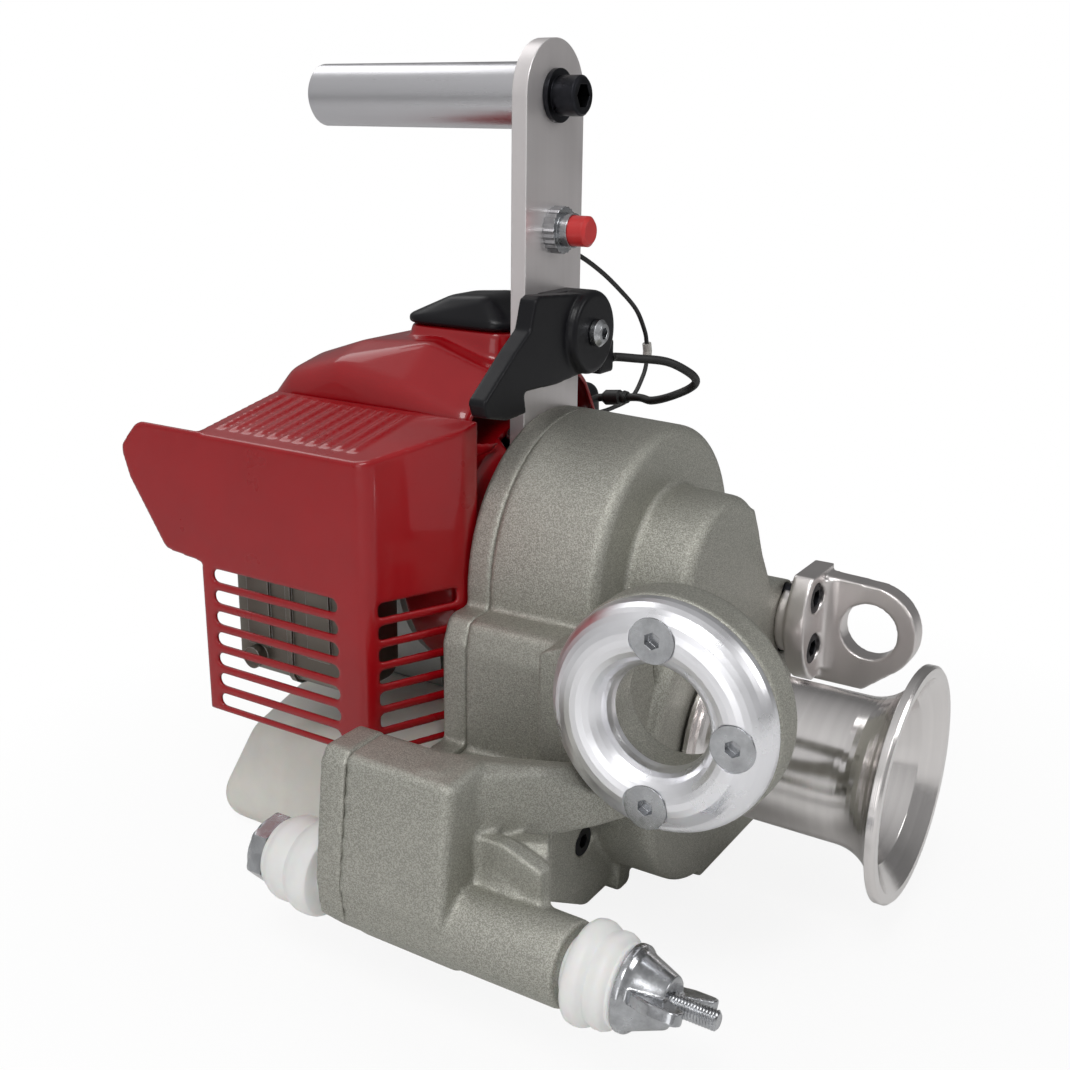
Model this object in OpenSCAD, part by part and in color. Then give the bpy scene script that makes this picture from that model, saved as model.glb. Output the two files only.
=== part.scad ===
/* [Gear train] */
// Module of the drum gear and its pinion
out_mod = 2; // [1.5:0.25:2.5]
// Teeth on the pinion
pinion_teeth = 12; // [11:1:14]
// Teeth on the drum gear
drum_teeth = 64; // [56:4:72]
// Width of the drum gear
out_w = 14; // [10:1:16]
// Module of the planet stage
sun_mod = 2.5; // [2:0.25:2.75]
// Teeth on the sun gear
sun_teeth = 12; // [12:3:15]
// Teeth on each planet gear
planet_teeth = 18; // [15:3:21]
// Width of the planet stage
planet_w = 14; // [10:1:16]
// Play between two tooth flanks
backlash = 0.3; // [0.15:0.05:0.5]

/* [Bearings and shafts] */
// Radius of the drum shaft in its front bearing
drum_shaft_r = 12.5; // [10:0.5:13]
// Radius of the drum shaft in its rear bearing
drum_tail_r = 10; // [8:0.5:11]
// Radius of the pinion shaft
pinion_shaft_r = 7.5; // [6:0.5:8]
// Radius of the carrier shaft
carrier_shaft_r = 12.5; // [10:0.5:14]
// Radius of the sun shaft
sun_shaft_r = 7.5; // [6:0.5:8]
// Width of the ball bearings
bearing_w = 12; // [9:1:14]
// How much larger in radius a bearing is than its shaft
bearing_h = 11; // [8:0.5:12]
// Width of the shaft seal
seal_w = 5; // [3:1:8]
// Running clearance of shafts in their bearings
run_fit = 0.03; // [0.02:0.01:0.08]

/* [Gearbox housing] */
// Wall round the gears
wall = 6; // [5:0.5:9]
// Free space round the gear tips
tip_gap = 2.5; // [1.5:0.5:4]
// Height of the drum lobe above the floor
lobe_lift = 1; // [0.5:0.5:4]
// Depth of the housing from front face to engine face
house_d = 98; // [98:1:110]
// Thickness of the rear plate
plate_t = 13; // [10:1:15]
// How far the drum lobe stands in front of the big lobe
lobe_step = 31; // [29:1:33]
// Radius of the cast edges
edge_r = 5; // [2:0.5:6]
// Radius of the boss round the pinion
boss_r = 43; // [36:1:46]
// Radius of the clutch opening in the rear plate
clutch_hole_r = 42; // [41:0.5:46]

/* [Foot and clamp] */
// Distance from the drum axis to the clamp bolt, sideways
bolt_x = 165; // [155:1:175]
// Height of the clamp bolt above the floor
bolt_z = 48; // [44:1:54]
// Radius of the boss round the clamp bolt
bolt_boss_r = 17.5; // [15:0.5:20]
// Front end of the clamp bolt boss, in front of the middle
boss_front = 66; // [60:1:72]
// Radius of the clamp bolt
bolt_r = 4; // [3:0.5:6]
// Top of the foot above the floor
foot_top = 115; // [108:1:125]
// Thickness of the foot at its top
foot_t = 26; // [20:1:30]
// Flange radius of the nylon bushes
bush_r = 22.5; // [20:0.5:24]
// Radius of the bushes beyond their flange
bush_neck_r = 19.5; // [17:0.5:20]
// Length of the front nylon bush
bush_len = 24; // [20:1:30]
// Length of the rear nylon bush
rear_bush_len = 35; // [28:1:38]
// Height of the hexagon head of the clamp bolt
bolt_head_h = 9; // [6:1:12]
// Width across corners of that head
bolt_head_w = 32; // [24:1:34]
// Length of the wing nut's body
wing_len = 18; // [13:1:22]
// Free end of the clamp bolt in front of the wing nut
stud_free = 19; // [15:1:30]

/* [Rope guide] */
// Radius of the hole in the rope guide
guide_hole_r = 21.9; // [18:0.5:24]
// Thickness of the half round ring
guide_rim = 27.6; // [24:0.4:30]
// Distance of the guide joint from the drum axis, sideways
guide_x = 110; // [105:1:116]
// Depth of the cast ring behind it
guide_back = 18; // [12:1:24]
// Distance of the guide in front of the middle
guide_y = 72.5; // [70:0.5:78]
// Height of the guide above the floor
guide_z = 134.6; // [130:0.5:140]
// Thread radius of the guide screws
guide_screw_r = 5; // [4:0.5:6]

/* [Anchor bracket] */
// Inner face of the ear, sideways from the drum axis
ear_x = 90; // [86:1:94]
// Thickness of the ear
ear_t = 12; // [8:1:16]
// Radius of the eye
eye_r = 15; // [10:0.5:17]
// Radius of the ear's nose
nose_r = 25; // [23:0.5:27]
// Distance of the eye in front of the middle
eye_y = 91; // [88:1:98]
// Height of the eye above the floor
eye_z = 107; // [100:1:112]
// Thickness of the bracket's base
base_t = 11; // [8:1:14]
// Height of the spacer behind the base
spacer_t = 6; // [3:1:9]

/* [Drum] */
// Radius of the drum's straight barrel
barrel_r = 35; // [32:0.5:37]
// Radius of the curve from the barrel into the front flange
flare_r = 24; // [22:1:30]
// Radius of the front flange
flange_r = 55; // [50:1:62]
// Radius of the rear flange
rear_flange_r = 45; // [42:1:50]
// Length of the drum
drum_len = 96; // [88:1:110]
// Gap between the drum and the housing
drum_gap = 1; // [0.5:0.5:3]
// Thickness of the flange rim
rim_t = 4.5; // [3:0.5:7]

/* [Handle] */
// Width of the handle plate
bar_w = 50; // [44:1:60]
// Thickness of the handle plate
bar_t = 8; // [6:1:10]
// Height of the grip axis above the floor
grip_z = 370; // [350:1:390]
// Radius of the grip
grip_r = 15; // [13:0.5:18]
// Length of the grip
grip_len = 130; // [122:1:140]
// Thread radius of the grip screw
grip_screw_r = 6; // [5:0.5:8]
// Height of the stop button above the floor
stop_z = 310; // [300:1:320]
// Radius of the stop switch barrel
stop_r = 8; // [7:0.5:10]
// Travel of the stop button
stop_travel = 3; // [2:0.5:4]
// Height of the throttle lever pivot above the floor
lever_z = 263; // [260:1:272]

/* [Engine] */
// Radius of the clutch drum, outside
clutch_r = 39; // [36:0.5:40]
// Radius of the fan housing
fan_r = 66; // [62:1:70]
// Depth of the fan housing
fan_d = 43; // [40:1:48]
// Length of the crankcase
case_len = 56; // [50:1:60]
// Pitch of the cylinder fins
fin_pitch = 6; // [5:0.5:7]
// Number of cylinder fins
fins = 7; // [5:1:8]
// Outer face of the muffler cover, sideways from the drum axis
cover_x = 120; // [116:1:126]
// Thickness of the plastic covers
skin = 2.5; // [2:0.25:3.5]
// Pitch of the slots in the muffler cover
slot_pitch = 10.8; // [10:0.2:12]
// Height of one slot
slot_h = 6.6; // [4:0.2:7.6]
// Number of slots
slots = 7; // [5:1:8]
// Pull of the starter rope
pull = 100; // [80:5:110]

/* [Hidden] */
$fn = 48;

// Stations along the housing, front to rear
front_y = -house_d / 2;
rear_y = house_d / 2;
split_y = rear_y - plate_t;
step_y = front_y + lobe_step;
seal_y = front_y + 0.5;
brg_y = seal_y + seal_w;
gear_y = brg_y + bearing_w + 0.5;
web_y = gear_y + out_w + 1;
carrier_y = web_y + bearing_w + 1;
carrier_t = 6;
planet_y = carrier_y + carrier_t + 1;
mid_y = planet_y + planet_w + 1;
mid_t = 9;
clutch_y = mid_y + mid_t + 1;
clutch_len = 16;

// Gear radii and axes
pinion_r = out_mod * pinion_teeth / 2;
drum_gear_r = out_mod * drum_teeth / 2;
sun_r = sun_mod * sun_teeth / 2;
planet_r = sun_mod * planet_teeth / 2;
ring_teeth = sun_teeth + 2 * planet_teeth;
ring_r = sun_mod * ring_teeth / 2;
carrier_r = sun_r + planet_r;
addendum = 0.75;
dedendum = 1.1;
press_angle = 20;
lobe_c_r = drum_gear_r + addendum * out_mod + tip_gap + wall;
drum_z = lobe_c_r + lobe_lift;
top_z = drum_z + pinion_r + drum_gear_r;
stage_r = ring_r + dedendum * sun_mod + 4;
lobe_a_r = stage_r + wall + 0.9;
seat_fit = 0.05;
drum_hub_r = drum_shaft_r + bearing_h;
tail_hub_r = drum_tail_r + bearing_h;
pinion_hub_r = pinion_shaft_r + bearing_h - 2.5;
carrier_hub_r = carrier_shaft_r + bearing_h;
sun_hub_r = sun_shaft_r + bearing_h - 1;
screw_r = 3;
screw_head_r = 5;
screw_head_h = 6;

// Outline of the housing, sideways and up
left_x = -93;
low_left_x = -108;
right_x = 97;
low_left_top = 78;
foot_x = -184;
foot_in_x = foot_x + 7 + foot_t;
foot_low = 26;
foot_front_y = -16;
arm_low = 78;
pad_y = step_y + 1.5;

// Crank and engine stations
hood_low = 207;
fan_y = rear_y;
fan_flange_t = 6;
case_y = fan_y + fan_d;
case_end = case_y + case_len;
crank_r = 8;
cyl_y = case_y + 29;
cyl_base = top_z + 45;
cyl_top = cyl_base + fins * fin_pitch + 6;
starter_y = case_end;
starter_d = 30;
pulley_y = starter_y + 12;
rope_x = 25;
guide_out_x = 60;
rope_r = 1.75;

function arc(c, r, a0, a1, n = 5) =
  [for (i = [0 : n]) c + r * [cos(a0 + (a1 - a0) * i / n), sin(a0 + (a1 - a0) * i / n)]];
function unit(v) = v / norm(v);
function wrap(a) = a > 180 ? a - 360 : a < -180 ? a + 360 : a;

// The corner at v between a and b, rounded with radius r
function corner(a, v, b, r, n) =
  let (u = unit(a - v), w = unit(b - v), half = acos(u * w) / 2,
       c = v + unit(u + w) * r / sin(half), s = v + u * r / tan(half) - c,
       e = v + w * r / tan(half) - c, a0 = atan2(s[1], s[0]),
       turn = wrap(atan2(e[1], e[0]) - a0))
  [for (i = [0 : n]) c + r * [cos(a0 + turn * i / n), sin(a0 + turn * i / n)]];
function soften(p, r, n = 4) =
  [for (i = [0 : len(p) - 1])
    each corner(p[(i + len(p) - 1) % len(p)], p[i], p[(i + 1) % len(p)],
                is_list(r) ? r[i] : r, n)];

module slab_y(y0, y1) translate([0, y1, 0]) rotate([90, 0, 0]) linear_extrude(y1 - y0) children();
module slab_x(x0, x1) translate([x0, 0, 0]) rotate([90, 0, 90]) linear_extrude(x1 - x0) children();
module slab_z(z0, z1) translate([0, 0, z0]) linear_extrude(z1 - z0) children();
module turn_y(x, z) translate([x, 0, z]) rotate([-90, 0, 0]) rotate_extrude() children();
module turn_x(y, z) translate([0, y, z]) rotate([0, 90, 0]) rotate_extrude() children();
module rod_y(x, z, r, y0, y1) slab_y(y0, y1) translate([x, z]) circle(r);
module rod_x(y, z, r, x0, x1) slab_x(x0, x1) translate([y, z]) circle(r);
module tube_y(x, z, r1, r0, y0, y1) slab_y(y0, y1) translate([x, z]) difference() {
  circle(r1);
  circle(r0);
}

// A cast lobe round the Y axis, front edge rounded, with draft towards the rear
module lobe(x, z, r0, r1, y0, y1, e = edge_r) turn_y(x, z)
  polygon(concat([[0, y0]], arc([r0 - e, y0 + e], e, -90, 0), [[r1, y1], [0, y1]]));

// A cast block: balls at the front corners, flat at the rear
module cast_block(points, y0, y1, e) hull() {
  for (p = points) translate([p[0], y0 + e, p[1]]) sphere(e, $fn = 20);
  slab_y(y1 - 1, y1) for (p = points) translate(p) circle(e, $fn = 20);
}

// Involute tooth outline; grow widens each tooth for the ring gear's cutter
function inv_deg(a) = tan(a) * 180 / PI - a;
function half_tooth(teeth, m, r, grow) =
  let (rb = m * teeth / 2 * cos(press_angle), ar = acos(min(1, rb / r)))
  90 / teeth + grow / (m * teeth) * 180 / PI + inv_deg(press_angle) - inv_deg(ar);
function gear_points(teeth, m, r_tip, r_root, grow) =
  let (rp = m * teeth / 2, rb = rp * cos(press_angle), r0 = max(rb, r_root),
       flank = [r0, (r0 + r_tip) / 2, r_tip])
  [for (k = [0 : teeth - 1]) let (c = k * 360 / teeth)
    each concat(
      r_root < r0 ? [let (a = c - half_tooth(teeth, m, r0, grow)) r_root * [cos(a), sin(a)]] : [],
      [for (r = flank) let (a = c - half_tooth(teeth, m, r, grow)) r * [cos(a), sin(a)]],
      [for (i = [2 : -1 : 0]) let (r = flank[i], a = c + half_tooth(teeth, m, r, grow))
        r * [cos(a), sin(a)]],
      r_root < r0 ? [let (a = c + half_tooth(teeth, m, r0, grow)) r_root * [cos(a), sin(a)]] : [])];
module gear_2d(teeth, m) polygon(gear_points(teeth, m, m * (teeth / 2 + addendum),
  m * (teeth / 2 - dedendum), -backlash / 2));

// A tube swept along points, with a given number of sides
function side_of(t) = abs(t[2]) > 0.9 ? unit(cross(t, [1, 0, 0])) : unit(cross(t, [0, 0, 1]));
function tangent(p, i) = unit(p[min(i + 1, len(p) - 1)] - p[max(i - 1, 0)]);
function carry(p, i, s) = let (t = tangent(p, i)) unit(s - t * (s * t));
function frames(p, i, s) =
  i == len(p) ? [] : let (n = carry(p, i, s)) concat([n], frames(p, i + 1, n));
function smooth(p, n) = [for (i = [0 : len(p) - 2]) for (k = [0 : n - 1])
  let (t = k / n, a = p[max(i - 1, 0)], b = p[i], c = p[i + 1], d = p[min(i + 2, len(p) - 1)])
  0.5 * (2 * b + (c - a) * t + (2 * a - 5 * b + 4 * c - d) * t * t
    + (3 * b - a - 3 * c + d) * t * t * t), p[len(p) - 1]];
module sweep(p, r, sides) {
  s = frames(p, 0, side_of(tangent(p, 0)));
  n = len(p);
  rings = [for (i = [0 : n - 1]) let (t = tangent(p, i), b = cross(t, s[i]))
    for (k = [0 : sides - 1])
      p[i] + r * (s[i] * cos(360 * k / sides) + b * sin(360 * k / sides))];
  walls = [for (i = [0 : n - 2]) for (k = [0 : sides - 1])
    let (a = i * sides + k, b = i * sides + (k + 1) % sides)
    each [[a, a + sides, b + sides], [a, b + sides, b]]];
  first = [for (k = [1 : sides - 2]) [0, k, k + 1]];
  end = (n - 1) * sides;
  last = [for (k = [1 : sides - 2]) [end, end + k + 1, end + k]];
  polyhedron(rings, concat(walls, first, last));
}

// Places of the M6 screws: rear plate, then handle plate, then fan housing
case_screw_xz = [[-82, 112], [-92, 40], [84, 18], [84, 100], [-168, 100], [-170, 76]];
bar_screw_x = 14;
bar_screw_z = top_z + 60;
fan_screw_r = 53;
bar_low = top_z + 45;
bar_back = rear_y + bar_t;
plug_x = -75;
plug_z = 42;
plug_r = 7;

// Housing
module left_outline() polygon(soften([[0, 146], [-88, 144], [left_x, 132], [left_x, 70],
  [0, 70]], [2, 6, 3, 2, 2]));
module low_outline() polygon(soften([[0, 84], [low_left_x, 84], [low_left_x, 26], [-92, 18],
  [-66, 2], [0, 2]], [2, 4, 6, 4, 4, 2]));
module right_outline() polygon(soften([[-12, 0], [right_x - 6, 0], [right_x, 8], [right_x, 116],
  [right_x - 11, 129], [72, 132], [58, 134], [44, 155], [30, 182], [0, 182]],
  [2, 3, 3, 5, 5, 5, 5, 5, 3, 2]));
module foot_outline() polygon(soften([[foot_in_x, foot_top], [foot_x + 10, foot_top],
  [foot_x + 6, foot_top - 6], [foot_x, 57], [foot_x + 2, 40], [foot_x + 16, foot_low],
  [foot_in_x, foot_low]], [3, 3, 3, 4, 4, 4, 3]));

module housing_outside() {
  lobe(0, top_z, lobe_a_r - 1.6, lobe_a_r, step_y, split_y);
  lobe(0, top_z, boss_r, boss_r + 1, front_y, step_y + 1);
  lobe(0, drum_z, lobe_c_r, lobe_c_r + 0.8, front_y, split_y);
  slab_y(front_y, split_y) right_outline();
  cast_block([[-40, 141], [-86, 139], [left_x + edge_r, 130], [left_x + edge_r, 75], [-40, 75]],
    step_y, split_y, edge_r);
  cast_block([[-20, 78], [low_left_x + 4, 78], [low_left_x + 4, 29], [-90, 22], [-66, 6], [-20, 6]],
    pad_y, split_y, 4);
  machined_pad();
  lug();
  foot();
  arm();
  shelf();
  bolt_boss();
  web();
  guide_back();
}
module machined_pad() slab_y(step_y, step_y + 3) polygon(soften([[low_left_x + 3, 82],
  [low_left_x + 3, 26], [-92, 20], [-20, 4], [-20, 82]], 1.5));
module lug() slab_y(step_y - 3, step_y + 10) polygon(soften([[-46, 24], [-46, 0], [-33, 0], [-33, 24]], 3));
module foot() cast_block([[foot_in_x - 4, foot_top - 4], [foot_x + 11, foot_top - 5],
  [foot_x + 4, 57], [foot_x + 6.5, 41], [foot_x + 17, foot_low + 4],
  [foot_in_x - 4, foot_low + 4]], foot_front_y, split_y, 4);

// The arm from the foot to the rope guide
arm_e = 3;
module arm_end(x0, y0, x1, y1, z0, z1)
  for (p = [[x0, y0], [x1, y1]]) for (z = [z0 + arm_e, z1 - arm_e])
    translate([p[0], p[1], z]) sphere(arm_e, $fn = 20);
module arm() {
  hull() {
    arm_end(foot_x + 15, 2, foot_in_x - arm_e, 2, arm_low, foot_top);
    arm_end(foot_x + 15, -5, foot_in_x - arm_e, -9, arm_low, foot_top);
    arm_end(-guide_x - 2, -43, -guide_x - 2, -31, arm_low - 2, foot_top - 13);
  }
  hull() {
    arm_end(-guide_x - 2, -43, -guide_x - 2, -31, arm_low - 2, foot_top - 13);
    arm_end(-guide_x + guide_back - 3, -52, -guide_x + guide_back - 3, -33, arm_low - 2, foot_top - 13);
  }
}
module shelf() slab_z(arm_low - 10, arm_low - 2) polygon(soften([[foot_in_x - 2, split_y],
  [foot_in_x - 2, -4], [-guide_x - 8, -26], [left_x + 10, -8], [left_x + 10, split_y]], 1.5));
module bolt_boss() lobe(-bolt_x, bolt_z, bolt_boss_r, bolt_boss_r + 0.8, -boss_front, split_y - 6, 1.5);
web_x = -160;
web_front = -47;
module web() slab_x(web_x, web_x + 8) polygon([[web_front, bolt_z + 8], [foot_front_y + 10, bolt_z + 8],
  [foot_front_y + 10, arm_low + 8], [-28, arm_low + 8], [web_front, arm_low + 1]]);

// Cast ring behind the rope guide, tied to the housing by a web
guide_r = guide_hole_r + guide_rim;
guide_mid_r = guide_hole_r + guide_rim / 2;
guide_back_x = -guide_x + guide_back;
module guide_back() {
  turn_x(-guide_y, guide_z) polygon(concat([[guide_hole_r + 2, -guide_x]],
    [[guide_r + 0.6, -guide_x]], arc([guide_r - 3, guide_back_x - 4], 4, 0, 90),
    [[guide_hole_r + 2, guide_back_x]]));
  slab_x(guide_back_x - 13, -60) polygon(soften([[-guide_y + 34, guide_z + 22], [step_y + 8, guide_z + 10],
    [step_y + 8, guide_z - 40], [-guide_y + 27, guide_z - 42], [-guide_y + 30, guide_z]],
    [6, 4, 4, 4, 3]));
}

module housing_inside() {
  rod_y(0, drum_z, drum_hub_r + seat_fit, front_y - 1, gear_y);
  rod_y(0, drum_z, lobe_c_r - wall, gear_y - 0.5, web_y);
  rod_y(0, top_z, pinion_hub_r + seat_fit, brg_y, gear_y);
  rod_y(0, top_z, pinion_r + 2 * out_mod, gear_y - 0.5, web_y);
  rod_y(0, drum_z, tail_hub_r + seat_fit, web_y - 1, web_y + bearing_w);
  rod_y(0, top_z, carrier_hub_r + seat_fit, web_y - 1, web_y + bearing_w + 1);
  rod_y(0, top_z, stage_r + seat_fit, web_y + bearing_w, split_y + 1);
  slab_y(web_y + bearing_w + 6, split_y + 1) difference() {
    translate([0, drum_z]) circle(lobe_c_r - wall);
    translate([0, top_z]) circle(lobe_a_r);
    translate([-40, drum_z + 20]) square([80, 60]);
  }
  slab_y(rear_y - 50, split_y + 1) polygon(soften([[-30, 12], [-84, 26], [-84, 68], [-70, 68]], 4));
  for (p = case_screw_xz) rod_y(p[0], p[1], screw_r + 0.1, split_y - 18, split_y + 1);
  rod_x(-guide_y, guide_z, guide_r + 0.4, -guide_x - 30, -guide_x);
  rod_y(-bolt_x, bolt_z, bolt_r + 0.3, -boss_front - 1, split_y + 1);
  rod_y(plug_x, plug_z, plug_r + 0.1, step_y - 1, step_y + 9);
  for (p = guide_screw_yz) rod_x(p[0], p[1], guide_screw_r + 0.1, -guide_x - 1, guide_back_x - 3);
  for (z = anchor_screw_z) rod_y(anchor_screw_x, z, guide_screw_r + 0.1, front_y - 1, front_y + 20);
}
module housing() color("darkgray") difference() {
  housing_outside();
  housing_inside();
}

// Rear plate, with its own band of the foot
module rear_plate() color("darkgray") difference() {
  union() {
    rod_y(0, top_z, lobe_a_r, split_y, rear_y);
    rod_y(0, drum_z, lobe_c_r + 0.8, split_y, rear_y);
    slab_y(split_y, rear_y) right_outline();
    slab_y(split_y, rear_y) left_outline();
    slab_y(split_y, rear_y) low_outline();
    slab_y(split_y, rear_y) foot_outline();
    slab_y(split_y, rear_y) polygon(soften([[low_left_x + 4, 80], [foot_in_x - 4, 80],
      [foot_in_x - 4, 40], [low_left_x + 4, 40]], 1));
  }
  rod_y(0, top_z, clutch_hole_r, split_y - 1, rear_y + 1);
  for (p = case_screw_xz) {
    rod_y(p[0], p[1], screw_r + 0.1, split_y - 1, rear_y + 1);
    rod_y(p[0], p[1], screw_head_r + 0.3, rear_y - screw_head_h - 0.5, rear_y + 1);
  }
  for (s = [-1, 1]) rod_y(s * bar_screw_x, bar_screw_z, screw_r + 0.1, split_y + 3, rear_y + 1);
  for (a = [45 : 90 : 315]) rod_y(fan_screw_r * cos(a), top_z + fan_screw_r * sin(a),
    screw_r + 0.1, split_y + 1, rear_y + 1);
  rod_y(-bolt_x, bolt_z, bolt_r + 0.3, split_y - 1, rear_y + 1);
}

// A socket head screw, head towards +Y, under-head face at y
module cap_screw(x, z, r, head_r, head_h, y, len) difference() {
  union() {
    rod_y(x, z, r, y - len, y);
    rod_y(x, z, head_r, y, y + head_h);
  }
  slab_y(y + head_h / 2, y + head_h + 1) translate([x, z]) circle(r, $fn = 6);
}
module m6(x, z, y, len) cap_screw(x, z, screw_r, screw_head_r, screw_head_h, y, len);
module case_screws() color("silver") {
  for (p = case_screw_xz) m6(p[0], p[1], rear_y - screw_head_h - 0.5, 22);
  for (s = [-1, 1]) m6(s * bar_screw_x, bar_screw_z, bar_back, bar_t + 9);
  for (a = [45 : 90 : 315]) m6(fan_screw_r * cos(a), top_z + fan_screw_r * sin(a),
    rear_y + fan_flange_t, fan_flange_t + 10);
}
module oil_plug() color("dimgray") difference() {
  rod_y(plug_x, plug_z, plug_r, step_y + 0.5, step_y + 8);
  slab_y(step_y, step_y + 5) translate([plug_x, plug_z]) circle(plug_r / 2, $fn = 6);
}

// Gear train
module ring_gear() color("slategray") translate([0, 0, top_z]) slab_y(planet_y, planet_y + planet_w)
  difference() {
    circle(stage_r);
    rotate(180 / ring_teeth) polygon(gear_points(ring_teeth, sun_mod,
      ring_r + dedendum * sun_mod, ring_r - addendum * sun_mod, backlash / 2));
  }
module bearing_plate() color("darkgray") difference() {
  rod_y(0, top_z, stage_r, mid_y, mid_y + mid_t);
  rod_y(0, top_z, sun_hub_r + seat_fit, mid_y - 1, mid_y + mid_t + 1);
  for (a = [0 : 60 : 300]) rod_y(42 * cos(a), top_z + 42 * sin(a), 9, mid_y - 1, mid_y + mid_t + 1);
}
module bearing(z, r0, r1, y0, w) turn_y(0, z) polygon([[r0, y0], [r0 + 3, y0], [r0 + 3.4, y0 + 0.6],
  [r1 - 3.4, y0 + 0.6], [r1 - 3, y0], [r1, y0], [r1, y0 + w], [r1 - 3, y0 + w],
  [r1 - 3.4, y0 + w - 0.6], [r0 + 3.4, y0 + w - 0.6], [r0 + 3, y0 + w], [r0, y0 + w]]);
module ball_bearings() color("gainsboro") {
  bearing(drum_z, drum_shaft_r + run_fit, drum_hub_r, brg_y, bearing_w);
  bearing(drum_z, drum_tail_r + run_fit, tail_hub_r, web_y, bearing_w);
  bearing(top_z, pinion_shaft_r + run_fit, pinion_hub_r, brg_y + 0.5, bearing_w - 1);
  bearing(top_z, carrier_shaft_r + run_fit, carrier_hub_r, web_y, bearing_w);
  bearing(top_z, sun_shaft_r + run_fit, sun_hub_r, mid_y, mid_t);
}
module drum_seal() color("black") tube_y(0, drum_z, drum_hub_r, drum_shaft_r + run_fit, seal_y, brg_y - 0.2);

drum_back = front_y - drum_gap;
drum_front = drum_back - drum_len;
dish_d = 30;
flare_turn = acos((barrel_r + flare_r - flange_r) / flare_r);
flare_d = flare_r * sin(flare_turn);
module drum() color("silver") turn_y(0, drum_z) difference() {
  polygon(concat(
    [[drum_shaft_r + seat_fit, drum_back], [rear_flange_r - 1, drum_back],
     [rear_flange_r, drum_back - 1], [rear_flange_r, drum_back - 3]],
    arc([rear_flange_r, drum_back - 3 - rear_flange_r + barrel_r], rear_flange_r - barrel_r, 92, 180, 8),
    arc([barrel_r + flare_r, drum_front + rim_t + flare_d], flare_r, 180, 180 + flare_turn, 12),
    [[flange_r, drum_front + rim_t], [flange_r, drum_front + 1.2], [flange_r - 1.2, drum_front]],
    [[flange_r - 5, drum_front], [barrel_r + 4, drum_front + 9], [barrel_r - 6, drum_front + dish_d],
     [drum_shaft_r + seat_fit, drum_front + dish_d]]));
  translate([drum_shaft_r + 6, drum_front + dish_d + 12])
    square([barrel_r - drum_shaft_r - 13, drum_len - dish_d - 24]);
}
module drum_shaft() color("gray") difference() {
  turn_y(0, drum_z) polygon([[0, drum_front + dish_d + 1], [drum_shaft_r, drum_front + dish_d + 1],
    [drum_shaft_r, gear_y - 0.3], [drum_tail_r + 1, gear_y - 0.3], [drum_tail_r + 1, web_y - 0.2],
    [drum_tail_r, web_y - 0.2], [drum_tail_r, web_y + bearing_w - 1], [0, web_y + bearing_w - 1]]);
  rod_y(0, drum_z, guide_screw_r + 0.05, drum_front + dish_d, drum_front + dish_d + 30);
}
module drum_gear() color("slategray") difference() {
  union() {
    translate([0, 0, drum_z]) slab_y(gear_y, gear_y + out_w) rotate(180 / drum_teeth)
      gear_2d(drum_teeth, out_mod);
  }
  rod_y(0, drum_z, drum_tail_r + 1 + seat_fit, gear_y - 1, gear_y + out_w + 1);
  for (a = [0 : 60 : 300]) rod_y(40 * cos(a), drum_z + 40 * sin(a), 13, gear_y - 1, gear_y + out_w + 1);
}
module drum_screw() color("silver") difference() {
  union() {
    rod_y(0, drum_z, drum_shaft_r + 8, drum_front + dish_d - 3, drum_front + dish_d - 0.05);
    rod_y(0, drum_z, 8, drum_front + dish_d - 13, drum_front + dish_d - 3);
    rod_y(0, drum_z, guide_screw_r, drum_front + dish_d - 3, drum_front + dish_d + 28);
  }
  slab_y(drum_front + dish_d - 14, drum_front + dish_d - 7) translate([0, drum_z]) circle(4.6, $fn = 6);
}

pin_r = 4;
module planet_carrier() color("gray") {
  difference() {
    turn_y(0, top_z) polygon([[0, brg_y + 0.6], [pinion_shaft_r, brg_y + 0.6],
      [pinion_shaft_r, web_y - 0.3], [carrier_shaft_r, web_y - 0.3], [carrier_shaft_r, carrier_y],
      [carrier_r + 12, carrier_y], [carrier_r + 12, carrier_y + carrier_t], [0, carrier_y + carrier_t]]);
    for (a = [30 : 120 : 270]) rod_y(carrier_r * cos(a), top_z + carrier_r * sin(a), 14,
      carrier_y - 1, carrier_y + carrier_t + 1);
  }
  for (a = planet_at) rod_y(carrier_r * cos(a), top_z + carrier_r * sin(a), pin_r,
    carrier_y + carrier_t - 1, planet_y + planet_w);
}
module pinion() color("slategray") difference() {
  translate([0, 0, top_z]) slab_y(gear_y, gear_y + out_w) gear_2d(pinion_teeth, out_mod);
  rod_y(0, top_z, pinion_shaft_r + seat_fit, gear_y - 1, gear_y + out_w + 1);
}
planet_at = [90, 210, 330];
module planet(i) color("slategray") translate([carrier_r * cos(planet_at[i]), 0,
  top_z + carrier_r * sin(planet_at[i])]) slab_y(planet_y, planet_y + planet_w) difference() {
    rotate(planet_at[i] + 180 / planet_teeth) gear_2d(planet_teeth, sun_mod);
    circle(pin_r + run_fit);
  }
module sun_gear() color("slategray") {
  translate([0, 0, top_z]) slab_y(planet_y, planet_y + planet_w) gear_2d(sun_teeth, sun_mod);
  rod_y(0, top_z, sun_shaft_r, planet_y + planet_w - 1, clutch_y + 4);
}
module clutch_drum() color("dimgray") difference() {
  rod_y(0, top_z, clutch_r, clutch_y, clutch_y + clutch_len);
  rod_y(0, top_z, clutch_r - 2, clutch_y + 3, clutch_y + clutch_len + 1);
  rod_y(0, top_z, sun_shaft_r + seat_fit, clutch_y - 1, clutch_y + 4);
  for (a = [30 : 60 : 330]) rod_y(26 * cos(a), top_z + 26 * sin(a), 5, clutch_y - 1, clutch_y + 4);
}
shoe_y = clutch_y + 5;
shoe_t = clutch_len - 6;
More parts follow.
